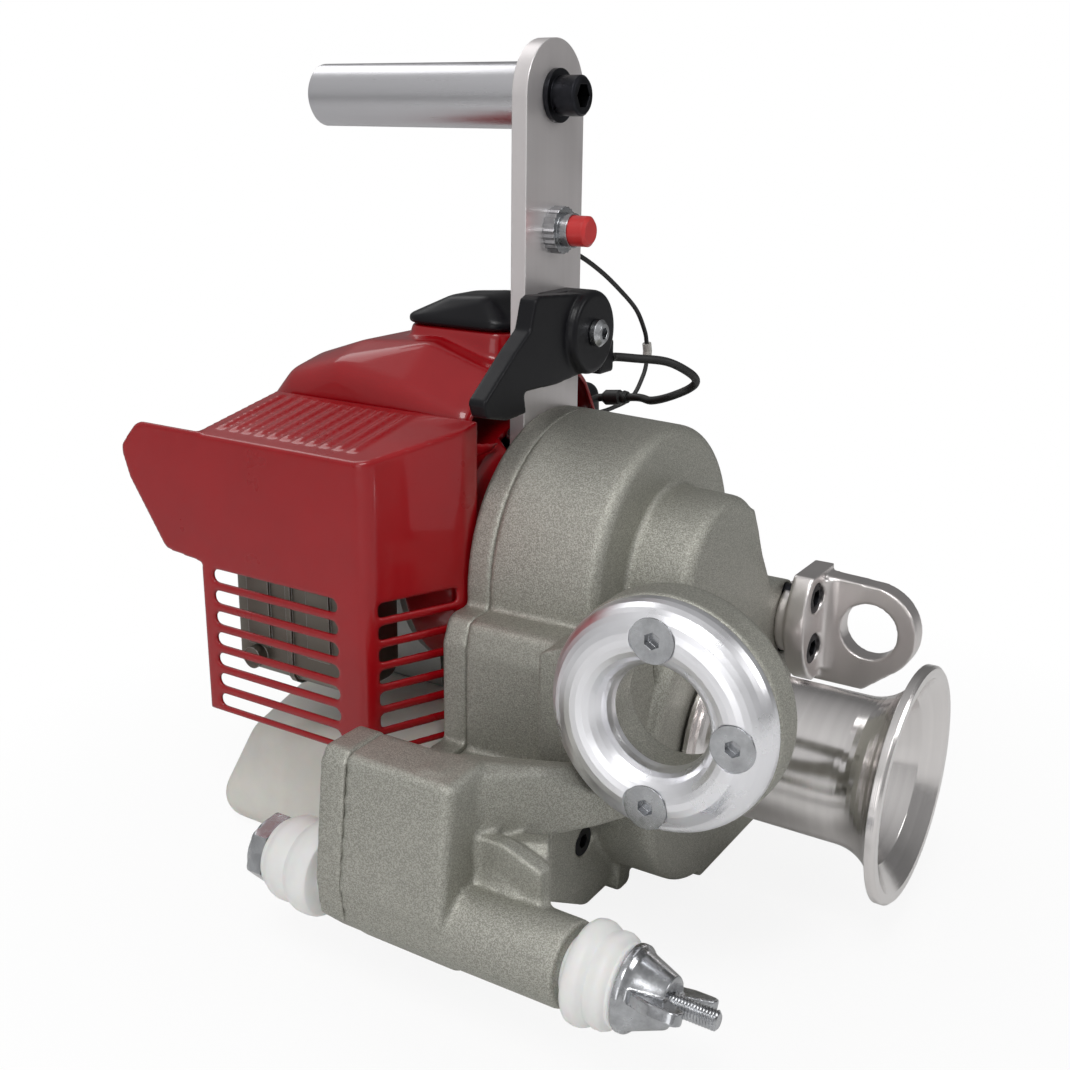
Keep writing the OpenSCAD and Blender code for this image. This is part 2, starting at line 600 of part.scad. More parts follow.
module clutch_rotor() color("gray") difference() {
  slab_y(shoe_y, shoe_y + shoe_t) translate([0, top_z]) union() {
    circle(14);
    for (a = [0, 180]) rotate(a) translate([0, -5]) square([33, 10]);
  }
  rod_y(0, top_z, crank_r + seat_fit, shoe_y - 1, shoe_y + shoe_t + 1);
}
module clutch_shoes() color("dimgray") for (a = [0, 180])
  slab_y(shoe_y + 0.5, shoe_y + shoe_t - 0.5) translate([0, top_z]) rotate(a) difference() {
    circle(clutch_r - 3.2);
    circle(20);
    translate([-50, -50]) square([100, 55.3]);
    for (x = [-28, 28]) translate([x, 12]) circle(2.5);
  }
module crankshaft() color("gray") turn_y(0, top_z) polygon([[0, shoe_y], [crank_r, shoe_y],
  [crank_r, pulley_y + 12], [0, pulley_y + 12]]);
fly_y = rear_y + 15;
module flywheel() color("gray") difference() {
  union() {
    turn_y(0, top_z) polygon([[0, fly_y], [16, fly_y], [20, fly_y + 4], [fan_r - 12, fly_y + 4],
      [fan_r - 12, fly_y + 8], [20, fly_y + 8], [20, fly_y + 20], [0, fly_y + 20]]);
    for (a = [0 : 24 : 336]) translate([0, 0, top_z]) rotate([0, a, 0])
      translate([24, fly_y + 6, -1.2]) cube([fan_r - 38, 12, 2.4]);
  }
  rod_y(0, top_z, crank_r + seat_fit, fly_y - 1, fly_y + 21);
}

// Rope guide: half round ring and its countersunk screws
guide_screw_yz = [for (a = [90, 180, 270])
  [-guide_y + guide_mid_r * cos(a), guide_z + guide_mid_r * sin(a)]];
guide_top_x = -guide_x - guide_rim / 2;
head_top_r = 9.5;
head_depth = 6;
module at_guide_screws() for (p = guide_screw_yz) translate([guide_top_x, p[0], p[1]])
  rotate([0, 90, 0]) children();
module fairlead_ring() color("gainsboro") difference() {
  turn_x(-guide_y, guide_z) polygon(concat([[guide_hole_r, -guide_x + 0]],
    [for (i = [0 : 16]) let (a = 180 - i * 180 / 16)
      [guide_mid_r + guide_rim / 2 * cos(a), -guide_x - guide_rim / 2 * sin(a)]]));
  at_guide_screws() {
    translate([0, 0, -1]) cylinder(guide_rim, r = guide_screw_r + 0.1);
    translate([0, 0, -3]) cylinder(4, r = head_top_r + 0.5);
    translate([0, 0, 0.9]) cylinder(head_depth, head_top_r + 0.2, guide_screw_r + 0.1);
  }
}
module fairlead_screws() color("silver") at_guide_screws() difference() {
  union() {
    translate([0, 0, 0.4]) cylinder(0.6, r = head_top_r);
    translate([0, 0, 1]) cylinder(head_depth - 0.3, head_top_r, guide_screw_r);
    translate([0, 0, 2]) cylinder(guide_rim / 2 + guide_back - 8, r = guide_screw_r);
  }
  translate([0, 0, -1]) cylinder(5, r = 3.6, $fn = 6);
}

// Anchor bracket: base on the front face, ear standing out from it
bracket_y = front_y - spacer_t - base_t;
anchor_screw_x = 79;
anchor_screw_z = [96, 124];
arc_r = 40;
ear_low = 74;
base_half = 30;
module anchor_bracket() color("silver") difference() {
  union() {
    slab_x(ear_x, ear_x + ear_t) difference() {
      union() {
        translate([-eye_y, eye_z]) circle(nose_r);
        polygon([[-eye_y, eye_z + nose_r], [front_y - spacer_t, eye_z + nose_r + 2],
          [front_y - spacer_t, ear_low], [-eye_y + 1, ear_low],
          [-eye_y - nose_r * cos(45), eye_z - nose_r * sin(45)]]);
      }
    }
    slab_y(bracket_y, front_y - spacer_t) intersection() {
      translate([ear_x + ear_t, eye_z + 4]) circle(arc_r);
      translate([ear_x - arc_r, eye_z - base_half]) square([arc_r + ear_t, 2 * base_half]);
    }
    slab_y(front_y - spacer_t - 1, front_y) translate([ear_x - 7, eye_z + 3]) circle(19);
    slab_z(eye_z - nose_r, eye_z + nose_r) difference() {
      translate([ear_x - 8, bracket_y - 8]) square([9, 9]);
      translate([ear_x - 8, bracket_y - 8]) circle(8);
    }
  }
  rod_x(-eye_y, eye_z, eye_r, ear_x - 1, ear_x + ear_t + 1);
  for (z = anchor_screw_z) {
    rod_y(anchor_screw_x, z, guide_screw_r + 0.1, bracket_y - 1, front_y + 1);
    rod_y(anchor_screw_x, z, 8.2, bracket_y - 1, bracket_y + 8);
  }
}
module anchor_screws() color("dimgray") for (z = anchor_screw_z) difference() {
  union() {
    rod_y(anchor_screw_x, z, guide_screw_r, bracket_y + 8, front_y + 18);
    rod_y(anchor_screw_x, z, 8, bracket_y + 0.5, bracket_y + 8);
  }
  slab_y(bracket_y - 1, bracket_y + 5) translate([anchor_screw_x, z]) circle(4.6, $fn = 6);
}

// Clamp bolt with its two nylon bushes and the wing nut
rear_bush_end = rear_y + rear_bush_len;
front_bush_end = -boss_front - bush_len;
function bush(len) = [[bolt_r + 0.1, 0], [bush_r - 1, 0], [bush_r, 1], [bush_r, 9], [bush_r - 1.5, 11],
  [bush_neck_r, 12], [bush_neck_r, len - 4], [bush_neck_r - 1.2, len - 1.2], [bush_neck_r - 4, len],
  [bolt_r + 0.1, len]];
module rear_bush() color("white") translate([0, rear_y, 0]) turn_y(-bolt_x, bolt_z)
  polygon(bush(rear_bush_len));
module front_bush() color("white") translate([0, -boss_front, 0]) mirror([0, 1, 0])
  turn_y(-bolt_x, bolt_z) polygon(bush(bush_len));
module clamp_bolt() color("silver") {
  slab_y(rear_bush_end, rear_bush_end + bolt_head_h) translate([-bolt_x, bolt_z])
    rotate(12) circle(bolt_head_w / 2, $fn = 6);
  rod_y(-bolt_x, bolt_z, bolt_r, front_bush_end - wing_len - stud_free, rear_bush_end + 1);
}
nut_foot_r = 17;
nut_top_r = 10;
wing_t = 5;
module wing_nut() color("silver") difference() {
  union() {
    turn_y(-bolt_x, bolt_z) polygon([[0, front_bush_end - 0.2], [nut_foot_r, front_bush_end - 0.2],
      [nut_foot_r, front_bush_end - 3], [nut_foot_r - 2, front_bush_end - 5],
      [nut_top_r, front_bush_end - wing_len], [0, front_bush_end - wing_len]]);
    for (s = [0, 180]) translate([-bolt_x, 0, bolt_z]) rotate([0, 25 + s, 0]) slab_z(-wing_t / 2, wing_t / 2)
      polygon(soften([[3, front_bush_end - 4], [nut_foot_r - 3, front_bush_end - 4],
        [nut_foot_r + 5, front_bush_end - wing_len], [nut_foot_r + 5, front_bush_end - wing_len - 11],
        [nut_foot_r - 2, front_bush_end - wing_len - 11], [3, front_bush_end - wing_len + 2]],
        [1, 2, 5, 3.4, 3.4, 1]));
  }
  rod_y(-bolt_x, bolt_z, bolt_r + run_fit + 0.05, front_bush_end - wing_len - 1, front_bush_end + 1);
}

// Handle plate, grip and switches
lever_x = 3;
module handle_plate() color("silver") difference() {
  slab_y(rear_y, bar_back) union() {
    translate([0, grip_z]) circle(bar_w / 2);
    translate([-bar_w / 2, bar_low]) square([bar_w, grip_z - bar_low]);
  }
  rod_y(0, grip_z, grip_screw_r + 0.1, rear_y - 1, bar_back + 1);
  rod_y(0, stop_z, stop_r + 0.05, rear_y - 1, bar_back + 1);
  rod_y(lever_x, lever_z, 4.1, rear_y - 1, bar_back + 1);
  for (s = [-1, 1]) rod_y(s * bar_screw_x, bar_screw_z, screw_r + 0.1, rear_y - 1, bar_back + 1);
}
module handle_grip() color("silver") difference() {
  turn_y(0, grip_z) polygon([[0, bar_back], [grip_r, bar_back], [grip_r, bar_back + grip_len - 1.5],
    [grip_r - 1.5, bar_back + grip_len], [0, bar_back + grip_len]]);
  rod_y(0, grip_z, grip_screw_r + 0.05, bar_back - 1, bar_back + 32);
}
washer_t = 2.5;
module grip_screw() color("dimgray") {
  tube_y(0, grip_z, 12, grip_screw_r + 0.2, rear_y - washer_t, rear_y);
  difference() {
    union() {
      turn_y(0, grip_z) polygon([[0, rear_y - washer_t - 12], [8, rear_y - washer_t - 12],
        [9, rear_y - washer_t - 11], [9, rear_y - washer_t], [0, rear_y - washer_t]]);
      rod_y(0, grip_z, grip_screw_r, rear_y - washer_t - 1, bar_back + 28);
    }
    slab_y(rear_y - washer_t - 13, rear_y - washer_t - 5) translate([0, grip_z]) circle(5.8, $fn = 6);
  }
}
switch_front = rear_y - 11;
switch_back = bar_back + 8;
module stop_switch() color("silver") difference() {
  union() {
    slab_y(rear_y - 6, rear_y) translate([0, stop_z]) polygon([for (i = [0 : 47])
      let (r = i % 2 == 0 ? 11 : 10.4) r * [cos(i * 7.5), sin(i * 7.5)]]);
    rod_y(0, stop_z, stop_r, switch_front, switch_back);
    rod_y(0, stop_z, stop_r + 3, bar_back, bar_back + 4);
  }
  rod_y(0, stop_z, stop_r - 0.8, switch_front - 1, rear_y - 2);
}
module stop_button() color("red") turn_y(0, stop_z) polygon([[0, switch_front - 9],
  [5.5, switch_front - 9], [stop_r - 0.9, switch_front - 7.6], [stop_r - 0.9, rear_y - 2.3 - stop_travel],
  [0, rear_y - 2.3 - stop_travel]]);

// The stop wire hangs from the switch in a bow beside the plate and runs into the shroud
wire_r = 1.25;
wire_top = [[3, switch_back + 0.6, 309], [7, switch_back + 6, 308], [20, 73, 304], [33, 70, 299], [47, 64, 294], [68, 62, 284], [90, 62, 272],
  [110, 62, 259], [121, 62, 246], [124, 62, 239]];
wire_low = [[125, 62, 228], [121, 62, 220], [112, 64, 209], [98, 70, 204], [80, 75, 202], [65, 76, 196.6],
  [59.1, 76, 192.5]];
module stop_wire() color("black") {
  sweep(smooth(wire_top, 3), wire_r, 8);
  sweep(smooth(wire_low, 3), wire_r, 8);
}
module wire_sleeve() color("lightgray") sweep([[124.3, 62, 238.3], [125.5, 62, 234], [125.2, 62, 228.8]], 2.6, 10);

// Throttle lever: base, lever, pivot screw and cable
lever_back = rear_y - 9;
lever_front = lever_back - 13;
module throttle_body() color("black") difference() {
  union() {
    slab_y(lever_back + 0.3, rear_y) polygon(soften([[-17, 282], [12, 282], [24, 272], [27, 256], [27, 241],
      [-14, 241], [-18, 250]], 3));
    slab_y(lever_front + 5, rear_y) polygon(soften([[lever_x + 21.5, 256], [lever_x + 28, 256],
      [lever_x + 28, 240], [lever_x + 12, 240], [lever_x + 17, 246]], 1.5));
  }
  rod_y(lever_x, lever_z, 4.1, lever_back - 1, rear_y + 1);
  rod_y(lever_x, lever_z, 20.4, lever_front, lever_back + 0.3);
}
module throttle_lever() color("black") difference() {
  union() {
    turn_y(lever_x, lever_z) polygon(concat([[0, lever_front]],
      arc([17.5, lever_front + 2.5], 2.5, -90, 0, 3), [[20, lever_back], [0, lever_back]]));
    slab_y(lever_front + 4, lever_back) polygon(soften([[lever_x + 4, 281], [-40, 284.5], [-44, 283],
      [-48, 270], [-60, 262], [-85, 243], [-82, 236], [-67, 232.5], [-51, 233], [-53, 243],
      [-25, 242], [lever_x, 244]], [3, 1.5, 1.5, 4, 6, 2.5, 2, 1.5, 1, 2, 8, 3]));
  }
  rod_y(lever_x, lever_z, 4.1, lever_front - 1, lever_back + 1);
}
module throttle_screw() color("silver") difference() {
  union() {
    rod_y(lever_x, lever_z, 4, lever_front - 2.5, bar_back);
    turn_y(lever_x, lever_z) polygon([[0, lever_front - 5], [4.5, lever_front - 5],
      [6.5, lever_front - 3], [6.5, lever_front - 0.3], [0, lever_front - 0.3]]);
    slab_y(bar_back + 0.05, bar_back + 4) translate([lever_x, lever_z]) circle(7.5, $fn = 6);
    rod_y(lever_x, lever_z, 4, bar_back - 1, bar_back + 4.5);
  }
  slab_y(lever_front - 6, lever_front - 2) translate([lever_x, lever_z]) circle(3, $fn = 6);
}
cable_r = 2.2;
cable_path = [[31.4, 34, 246], [36, 33.8, 246], [43, 26, 245], [54, 14, 243], [68, 8, 236], [77, 8, 230],
  [79, 13, 225], [76, 23, 220], [80, 35, 216], [87, 44, 215], [89, 49, 214.6], [89, 54, 214]];
cable_tail = [[89, 70.2, 212], [88, 74, 211], [78, 78, 208], [66, 80, 203], [61, 86, 194], [60, 93, 190],
  [60, 98.7, 190]];
module throttle_cable() color("black") {
  sweep(smooth(cable_path, 3), cable_r, 8);
  sweep(smooth(cable_tail, 3), cable_r, 8);
}
module cable_boot() color("black") translate([89, 54.2, 214]) rotate([-90 - 7, 0, 0]) rotate_extrude()
  polygon([[0, 0], [3.2, 0], [3.8, 2], [3.2, 4], [4.2, 5], [4.2, 13.5], [2.6, 15.6], [0, 15.6]]);

// Engine
module fan_housing() color("crimson") difference() {
  turn_y(0, top_z) polygon([[clutch_hole_r + 2, fan_y], [60, fan_y], [60, fan_y + 8], [fan_r, fan_y + 14],
    [fan_r, fan_y + fan_d], [fan_r - 3, fan_y + fan_d], [fan_r - 3, fan_y + 15], [58, fan_y + fan_flange_t],
    [clutch_hole_r + 2, fan_y + fan_flange_t]]);
  translate([-bar_w / 2 - 0.4, fan_y - 1, bar_low - 0.4]) cube([bar_w + 0.8, bar_t + 8, 60]);
  for (a = [45 : 90 : 315]) rod_y(fan_screw_r * cos(a), top_z + fan_screw_r * sin(a),
    screw_r + 0.1, fan_y - 1, fan_y + fan_flange_t + 1);
}
// The gland on the fan housing's rim, where the stop wire goes in
gland_y = 76;
gland_turn = 55;
module fan_body() color("crimson") {
  fan_housing();
  translate([0, gland_y, top_z]) rotate([0, gland_turn, 0]) translate([0, 0, fan_r - 2]) cylinder(8, r = 3.5);
}
module crankcase() color("darkgray") difference() {
  union() {
    rod_y(0, top_z, fan_r, case_y, case_y + 4);
    rod_y(0, top_z, 38, case_y + 3, case_end);
    slab_y(case_y + 3, case_end) polygon(soften([[-30, tank_top + 0.3], [30, tank_top + 0.3],
      [34, 110], [34, cyl_base], [-34, cyl_base], [-34, 110]], 2));
  }
  rod_y(0, top_z, crank_r + run_fit, case_y - 1, case_end + 1);
}
port_x = 42;
port_z = cyl_base + 0.1;
port_h = 9;
plug_lead = 11;
module cylinder_block() color("darkgray") {
  translate([0, cyl_y, 0]) {
    slab_z(cyl_base, cyl_top) circle(22);
    for (i = [0 : fins - 1]) slab_z(cyl_base + 2 + i * fin_pitch, cyl_base + 4 + i * fin_pitch)
      polygon(soften([[-34, -24], [34, -24], [34, 27], [-34, 27]], 8));
    slab_z(cyl_top, cyl_top + 5) translate([0, -plug_lead]) circle(12);
  }
  slab_x(-port_x, -20) translate([cyl_y - 13, port_z]) square([26, port_h]);
  slab_x(20, port_x) translate([cyl_y - 15, port_z]) square([30, port_h]);
}
module spark_plug() color("black") translate([0, cyl_y - plug_lead, cyl_top + 5]) rotate_extrude()
  polygon([[0, 0], [7, 0], [7, 6], [8.5, 7], [8.5, 14], [0, 14]]);
muff_x0 = -106;
muff_x1 = -63;
muff_y0 = case_y + 5;
muff_y1 = case_y + 72;
muff_z0 = 94;
muff_z1 = hood_low - 1;
function muff_outline(t) = [[muff_x0 + t, muff_z0 + t], [muff_x1 - t, muff_z0 + t],
  [muff_x1 - t, muff_z1 - t], [muff_x0 + 20 + t / 2, muff_z1 - t], [muff_x0 + t, muff_z1 - 20 - t / 2]];
module muffler() color("gray") {
  difference() {
    slab_y(muff_y0, muff_y1) polygon(soften(muff_outline(1.5), 8));
    slab_y(muff_y0 + 1.5, muff_y1 - 1.5) polygon(soften(muff_outline(3), 6.5));
  }
  slab_y((muff_y0 + muff_y1) / 2 - 1.5, (muff_y0 + muff_y1) / 2 + 1.5) difference() {
    polygon(soften(muff_outline(0), 9));
    polygon(soften(muff_outline(2.5), 7));
  }
  for (i = [0 : 1]) slab_y(muff_y0 + 8 + i * 38, muff_y0 + 22 + i * 38) translate([muff_x0, muff_z0 + 18]) square([2, 62]);
  slab_x(muff_x1 - 2, -port_x - 0.3) translate([cyl_y - 14, port_z]) square([28, port_h]);
  rod_x(muff_y1 - 12, muff_z0 + 12, 5.5, muff_x0 - 4, muff_x0 + 2);
}

// Muffler cover: plan outline with an open rear, sloping ribbed top and slots
cover_low = 78;
cover_eave = 218;
cover_ridge = 229;
cover_y0 = fan_y + 1;
cover_y1 = fan_y + 22;
cover_end = 172;
wing_end = 223;
slot_y0 = 88;
slot_y1 = 165;
ribs = 11;
function cover_plan(t) = soften([[-62, cover_end + (t > 0 ? 1 : 0)], [-62, cover_y0 + t * 1.2],
  [-73, cover_y0 + t * 1.2], [-cover_x + t, cover_y1 + t * 0.4], [-cover_x + t, cover_end + (t > 0 ? 1 : 0)]],
  [0.2, 0.2, 7 - t, 8 - t, 0.2]);
module cover_solid(t) intersection() {
  slab_z(cover_low - 1, cover_ridge + 10) polygon(cover_plan(t));
  slab_y(cover_y0 - 1, cover_end + 2) polygon([[-62, cover_low - (t > 0 ? 1 : 0)],
    [-cover_x - 2, cover_low - (t > 0 ? 1 : 0)], [-cover_x - 2, cover_eave - t * 1.1 - 0.4],
    [-62, cover_ridge - t * 1.1]]);
}
slant = atan2(cover_y1 - cover_y0, cover_x - 73);
module muffler_cover() color("crimson") difference() {
  union() {
    difference() {
      cover_solid(0);
      cover_solid(skin);
    }
    slab_x(-cover_x, -cover_x + skin) polygon(soften([[cover_end - 4, 219], [210, 219],
      [wing_end, 205], [218, 190], [196, 157], [cover_end - 4, 154]], [1, 9, 7, 10, 7, 1]));
    for (i = [0 : ribs - 1]) translate([0, 82 + i * 8, 0]) slab_y(0, 3.4) polygon([[-cover_x + 8, cover_eave + 0.8],
      [-66, cover_ridge - 1.4], [-67.5, cover_ridge + 0.4], [-cover_x + 10, cover_eave + 2.9]]);
    for (y = [muff_y0 + 15, muff_y0 + 53]) rod_x(y, muff_z0 + 74, 4, -cover_x + skin - 0.5, muff_x0 - 0.3);
  }
  for (i = [0 : slots - 1]) {
    slab_x(-cover_x - 1, -cover_x + skin + 1) translate([slot_y0, cover_low + 3 + i * slot_pitch])
      polygon(soften([[0, 0], [slot_y1 - slot_y0, 0], [slot_y1 - slot_y0, slot_h], [0, slot_h]], slot_h * 0.45));
    translate([-cover_x, cover_y1, cover_low + 3 + i * slot_pitch]) rotate([0, 0, -slant])
      translate([7, -2, 0]) cube([(cover_x - 73) / cos(slant) - 11, 7, slot_h]);
  }
}

// Top shroud: one moulded hood over the cylinder, formed on spheres along its shoulders and its top
hood_r = 12;
hood_rows = [[68, 47, 222, 30, 236], [100, 47, 232, 30, 245], [137, 47, 237, 32, 242], [165, 46, 229, 28, 233],
  [191, 38, 206, 22, 213]];
hood_low_balls = [[-50, 76, 200], [54, 76, 200], [-48, 192, 196], [52, 192, 196], [58, 68, 204]];
hood_balls = concat(hood_low_balls, [for (p = hood_rows) for (s = [-1, 1]) each
  [[s * p[1], p[0], p[2]], [s * p[3], p[0], p[4]]]]);
plug_boss = [[-11, 74], [11, 74], [-11, 113], [11, 113]];
plug_boss_top = 262;
plug_boss_r = 10;
plug_hole_r = 11;
module hood_form(r) hull() for (p = hood_balls) translate(p) sphere(r, $fn = 20);
module top_shroud() color("crimson") difference() {
  union() {
    intersection() {
      hood_form(hood_r);
      translate([-200, bar_back + 2.5, hood_low]) cube([400, 200, 200]);
    }
    hull() for (p = plug_boss) translate([p[0], p[1], plug_boss_top - 22])
      cylinder(22, plug_boss_r + 4, plug_boss_r, $fn = 32);
  }
  hood_form(hood_r - skin);
  translate([-200, 0, hood_low - 20]) cube([400, 400, 20.01]);
  rod_y(0, top_z, fan_r + 0.5, fan_y, case_y + 5);
  translate([0, cyl_y - plug_lead, hood_low]) cylinder(60, r = plug_hole_r);
}
cap_low = plug_boss_top + 0.3;
module plug_cover() color("black") difference() {
  hull() {
    for (p = plug_boss) translate([p[0], p[1], cap_low]) cylinder(4, r = plug_boss_r + 1.5, $fn = 32);
    for (p = [[9.5, 80, 269], [9, 99, 267.5]]) for (s = [-1, 1])
      translate([s * p[0], p[1], p[2]]) sphere(9.5, $fn = 24);
  }
  translate([-50, 0, cap_low - 50]) cube([100, 200, 50]);
  translate([0, cyl_y - plug_lead, cap_low - 1]) cylinder(5, r = plug_hole_r - 2);
}

// Fuel tank, blow moulded, with neck and cap
tank_top = 74;
tank_balls = [[-86, 182, 13], [-86, 152, 13], [-84, 146, 52], [-60, 80, 14], [-56, 80, 60], [-80, 168, 44],
  [46, 182, 13], [46, 78, 14], [46, 80, 60], [46, 160, 60], [-50, 160, 60]];
neck_y = 130;
neck_z = 44;
module fuel_tank() color("whitesmoke") difference() {
  union() {
    intersection() {
      hull() for (p = tank_balls) translate(p) sphere(14, $fn = 28);
      translate([-150, 40, 0]) cube([300, 200, tank_top]);
    }
    rod_x(neck_y, neck_z, 15, 50, 68);
  }
  rod_x(neck_y, neck_z, 11, 30, 69);
}
module fuel_cap() color("black") difference() {
  slab_x(62, 78) translate([neck_y, neck_z]) polygon([for (i = [0 : 47])
    let (r = i % 4 < 2 ? 19 : 18) r * [cos(i * 7.5), sin(i * 7.5)]]);
  rod_x(neck_y, neck_z, 15 + 0.3, 61, 68.3);
}

// Carburettor side
carb_x0 = 42.3;
carb_x1 = 70;
carb_z = hood_low - 14;
module carburettor() color("darkgray") difference() {
  union() {
    slab_x(carb_x0, carb_x1) translate([cyl_y, carb_z]) square([32, 26], center = true);
    slab_z(carb_z - 24, carb_z - 12) translate([(carb_x0 + carb_x1) / 2, cyl_y]) circle(12);
    rod_y((carb_x0 + carb_x1) / 2, carb_z - 4, 11, cyl_y + 15, cyl_y + 22);
    rod_y(60, 190, 4, cyl_y - 22, cyl_y - 15);
  }
  rod_y((carb_x0 + carb_x1) / 2, carb_z - 4, 9.3, cyl_y + 17, cyl_y + 23);
}
module primer_bulb() color("orange") turn_y((carb_x0 + carb_x1) / 2, carb_z - 4)
  polygon(concat([[0, cyl_y + 21.3], [9, cyl_y + 21.3]], arc([1, cyl_y + 22], 8, 0, 90, 6), [[0, cyl_y + 30]]));
cleaner_x1 = 118;
module air_cleaner() color("black") difference() {
  cast_block([[carb_x1 + 8.5, 158], [carb_x1 + 8.5, 208], [cleaner_x1 - 8, 158], [cleaner_x1 - 12, 208]],
    cyl_y - 38, cyl_y + 36, 8);
  rod_y(100, 196, 3.1, cyl_y + 24, cyl_y + 40);
}
choke_back = cyl_y + 37.6;
module choke_lever() color("black") {
  rod_y(100, 196, 3, cyl_y + 27, choke_back);
  slab_y(choke_back - 1.3, choke_back) polygon(soften([[95, 201], [105, 201], [108, 176], [98, 176]], 3));
}

// Recoil starter at the rear
module starter_housing() color("black") difference() {
  union() {
    turn_y(0, top_z) polygon([[0, starter_y + starter_d - 3], [24, starter_y + starter_d - 3],
      [46, starter_y + starter_d - 7], [54, starter_y + 14], [56, starter_y], [60, starter_y],
      [57.5, starter_y + 15], [48, starter_y + starter_d - 4], [24, starter_y + starter_d], [0, starter_y + starter_d]]);
    rod_y(0, top_z, crank_r + 3, pulley_y + 13, starter_y + starter_d - 1);
    rod_x(pulley_y + 5, top_z + rope_x, 7, 48, guide_out_x);
  }
  for (a = [0 : 20 : 340]) translate([0, 0, top_z]) rotate([0, a, 0])
    translate([30, starter_y + starter_d - 12, -2]) cube([13, 16, 4]);
  rod_x(pulley_y + 5, top_z + rope_x, rope_r + 0.5, 38, guide_out_x + 1);
}
module starter_pulley() color("gray") turn_y(0, top_z) polygon([[crank_r + run_fit, pulley_y],
  [29, pulley_y], [29, pulley_y + 1.5], [rope_x - rope_r - 0.3, pulley_y + 2.4],
  [rope_x - rope_r - 0.3, pulley_y + 7.6], [29, pulley_y + 8.5], [29, pulley_y + 10],
  [crank_r + run_fit, pulley_y + 10]]);
module starter_handle() color("black") {
  turn_x(pulley_y + 5, top_z + rope_x) polygon([[0, guide_out_x + 0.3], [6, guide_out_x + 0.3],
    [5, guide_out_x + 4], [5, guide_out_x + 9], [0, guide_out_x + 9]]);
  translate([guide_out_x + 12.3, pulley_y + 5, top_z + rope_x - 21]) rotate_extrude()
    polygon([[0, 0], [4, 0], [6, 2], [5, 21], [6, 40], [4, 42], [0, 42]]);
  rod_x(pulley_y + 5, top_z + rope_x, rope_r, guide_out_x + 1 - pull, guide_out_x + 2);
}

housing();
rear_plate();
case_screws();
oil_plug();
ring_gear();
bearing_plate();
ball_bearings();
drum_seal();
drum();
drum_shaft();
drum_gear();
drum_screw();
planet_carrier();
pinion();
planet(0);  // planet_1
planet(1);  // planet_2
planet(2);  // planet_3
sun_gear();
clutch_drum();
clutch_rotor();
clutch_shoes();
crankshaft();
flywheel();
fairlead_ring();
fairlead_screws();
anchor_bracket();
anchor_screws();
clamp_bolt();
rear_bush();
front_bush();
wing_nut();
handle_plate();
handle_grip();
grip_screw();
stop_switch();
stop_button();
stop_wire();
wire_sleeve();
throttle_body();
throttle_lever();
throttle_screw();
throttle_cable();
cable_boot();
fan_body();  // fan_housing
crankcase();
cylinder_block();  // cylinder
spark_plug();
muffler();
muffler_cover();
top_shroud();
plug_cover();
fuel_tank();
fuel_cap();
carburettor();
primer_bulb();
choke_lever();
air_cleaner();
starter_housing();
starter_pulley();
starter_handle();
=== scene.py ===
# %% [markdown]
# A capstan winch on a pale studio floor.
# The CAD parts come in first and stay where they are: this file only dresses them.
# Each step says what the piece is on the real machine, how it could be made, and why this way was chosen.

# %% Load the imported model
import bpy
import bmesh
import math
from mathutils import Matrix, Vector


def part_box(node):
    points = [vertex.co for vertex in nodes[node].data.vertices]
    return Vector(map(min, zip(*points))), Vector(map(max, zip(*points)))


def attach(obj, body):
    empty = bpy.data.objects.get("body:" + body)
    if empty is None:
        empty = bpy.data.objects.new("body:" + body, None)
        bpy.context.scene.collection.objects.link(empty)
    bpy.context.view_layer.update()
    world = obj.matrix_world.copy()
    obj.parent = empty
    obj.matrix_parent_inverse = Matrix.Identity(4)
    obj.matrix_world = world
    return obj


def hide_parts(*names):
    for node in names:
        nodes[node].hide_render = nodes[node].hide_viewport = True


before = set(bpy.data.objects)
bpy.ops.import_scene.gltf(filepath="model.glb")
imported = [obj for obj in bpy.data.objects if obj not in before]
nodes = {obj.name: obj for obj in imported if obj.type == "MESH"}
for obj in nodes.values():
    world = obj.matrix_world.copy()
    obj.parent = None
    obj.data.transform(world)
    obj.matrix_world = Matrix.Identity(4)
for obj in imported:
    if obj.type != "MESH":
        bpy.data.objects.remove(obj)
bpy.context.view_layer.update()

# %% [markdown]
# The camera stands low at the winch's front left, as the photographer did.
# Its place and tilt come from the drum flange, the guide ring and the straight edges of the handle.
# A camera can be aimed with a constraint, but a plain matrix says exactly where it looks.

# %% Camera
EYE = Vector((-0.5435, -0.2826, 0.3610))
AHEAD = Vector((0.808, 0.506, -0.303)).normalized()
ROUGHLY_UP = Vector((0.251, 0.171, 0.953))
LENS_MM = 44.36
SENSOR_MM = 36
SIGHT_M = 20


def aim(eye, ahead, roughly_up):
    """A matrix at eye that looks ahead: columns are right, up and back."""
    right = ahead.cross(roughly_up).normalized()
    up = right.cross(ahead)
    turn = Matrix((right, up, -ahead)).transposed()
    return Matrix.Translation(eye) @ turn.to_4x4()


def add_camera():
    """The photograph's view: a plain camera with no shift."""
    data = bpy.data.cameras.new("camera")
    data.lens = LENS_MM
    data.sensor_width = SENSOR_MM
    data.clip_end = SIGHT_M
    camera = bpy.data.objects.new("camera", data)
    camera.matrix_world = aim(EYE, AHEAD, ROUGHLY_UP)
    bpy.context.collection.objects.link(camera)
    bpy.context.scene.camera = camera


add_camera()
print("camera at", tuple(EYE), "with a lens of", LENS_MM, "mm")

# %% [markdown]
# A material can be wired by hand in the shader editor, but a script shows every value.
# It is easier to read when one helper adds a node, sets its sockets and links it.
# A value that is a socket becomes a link, and any other value is set on the socket itself.

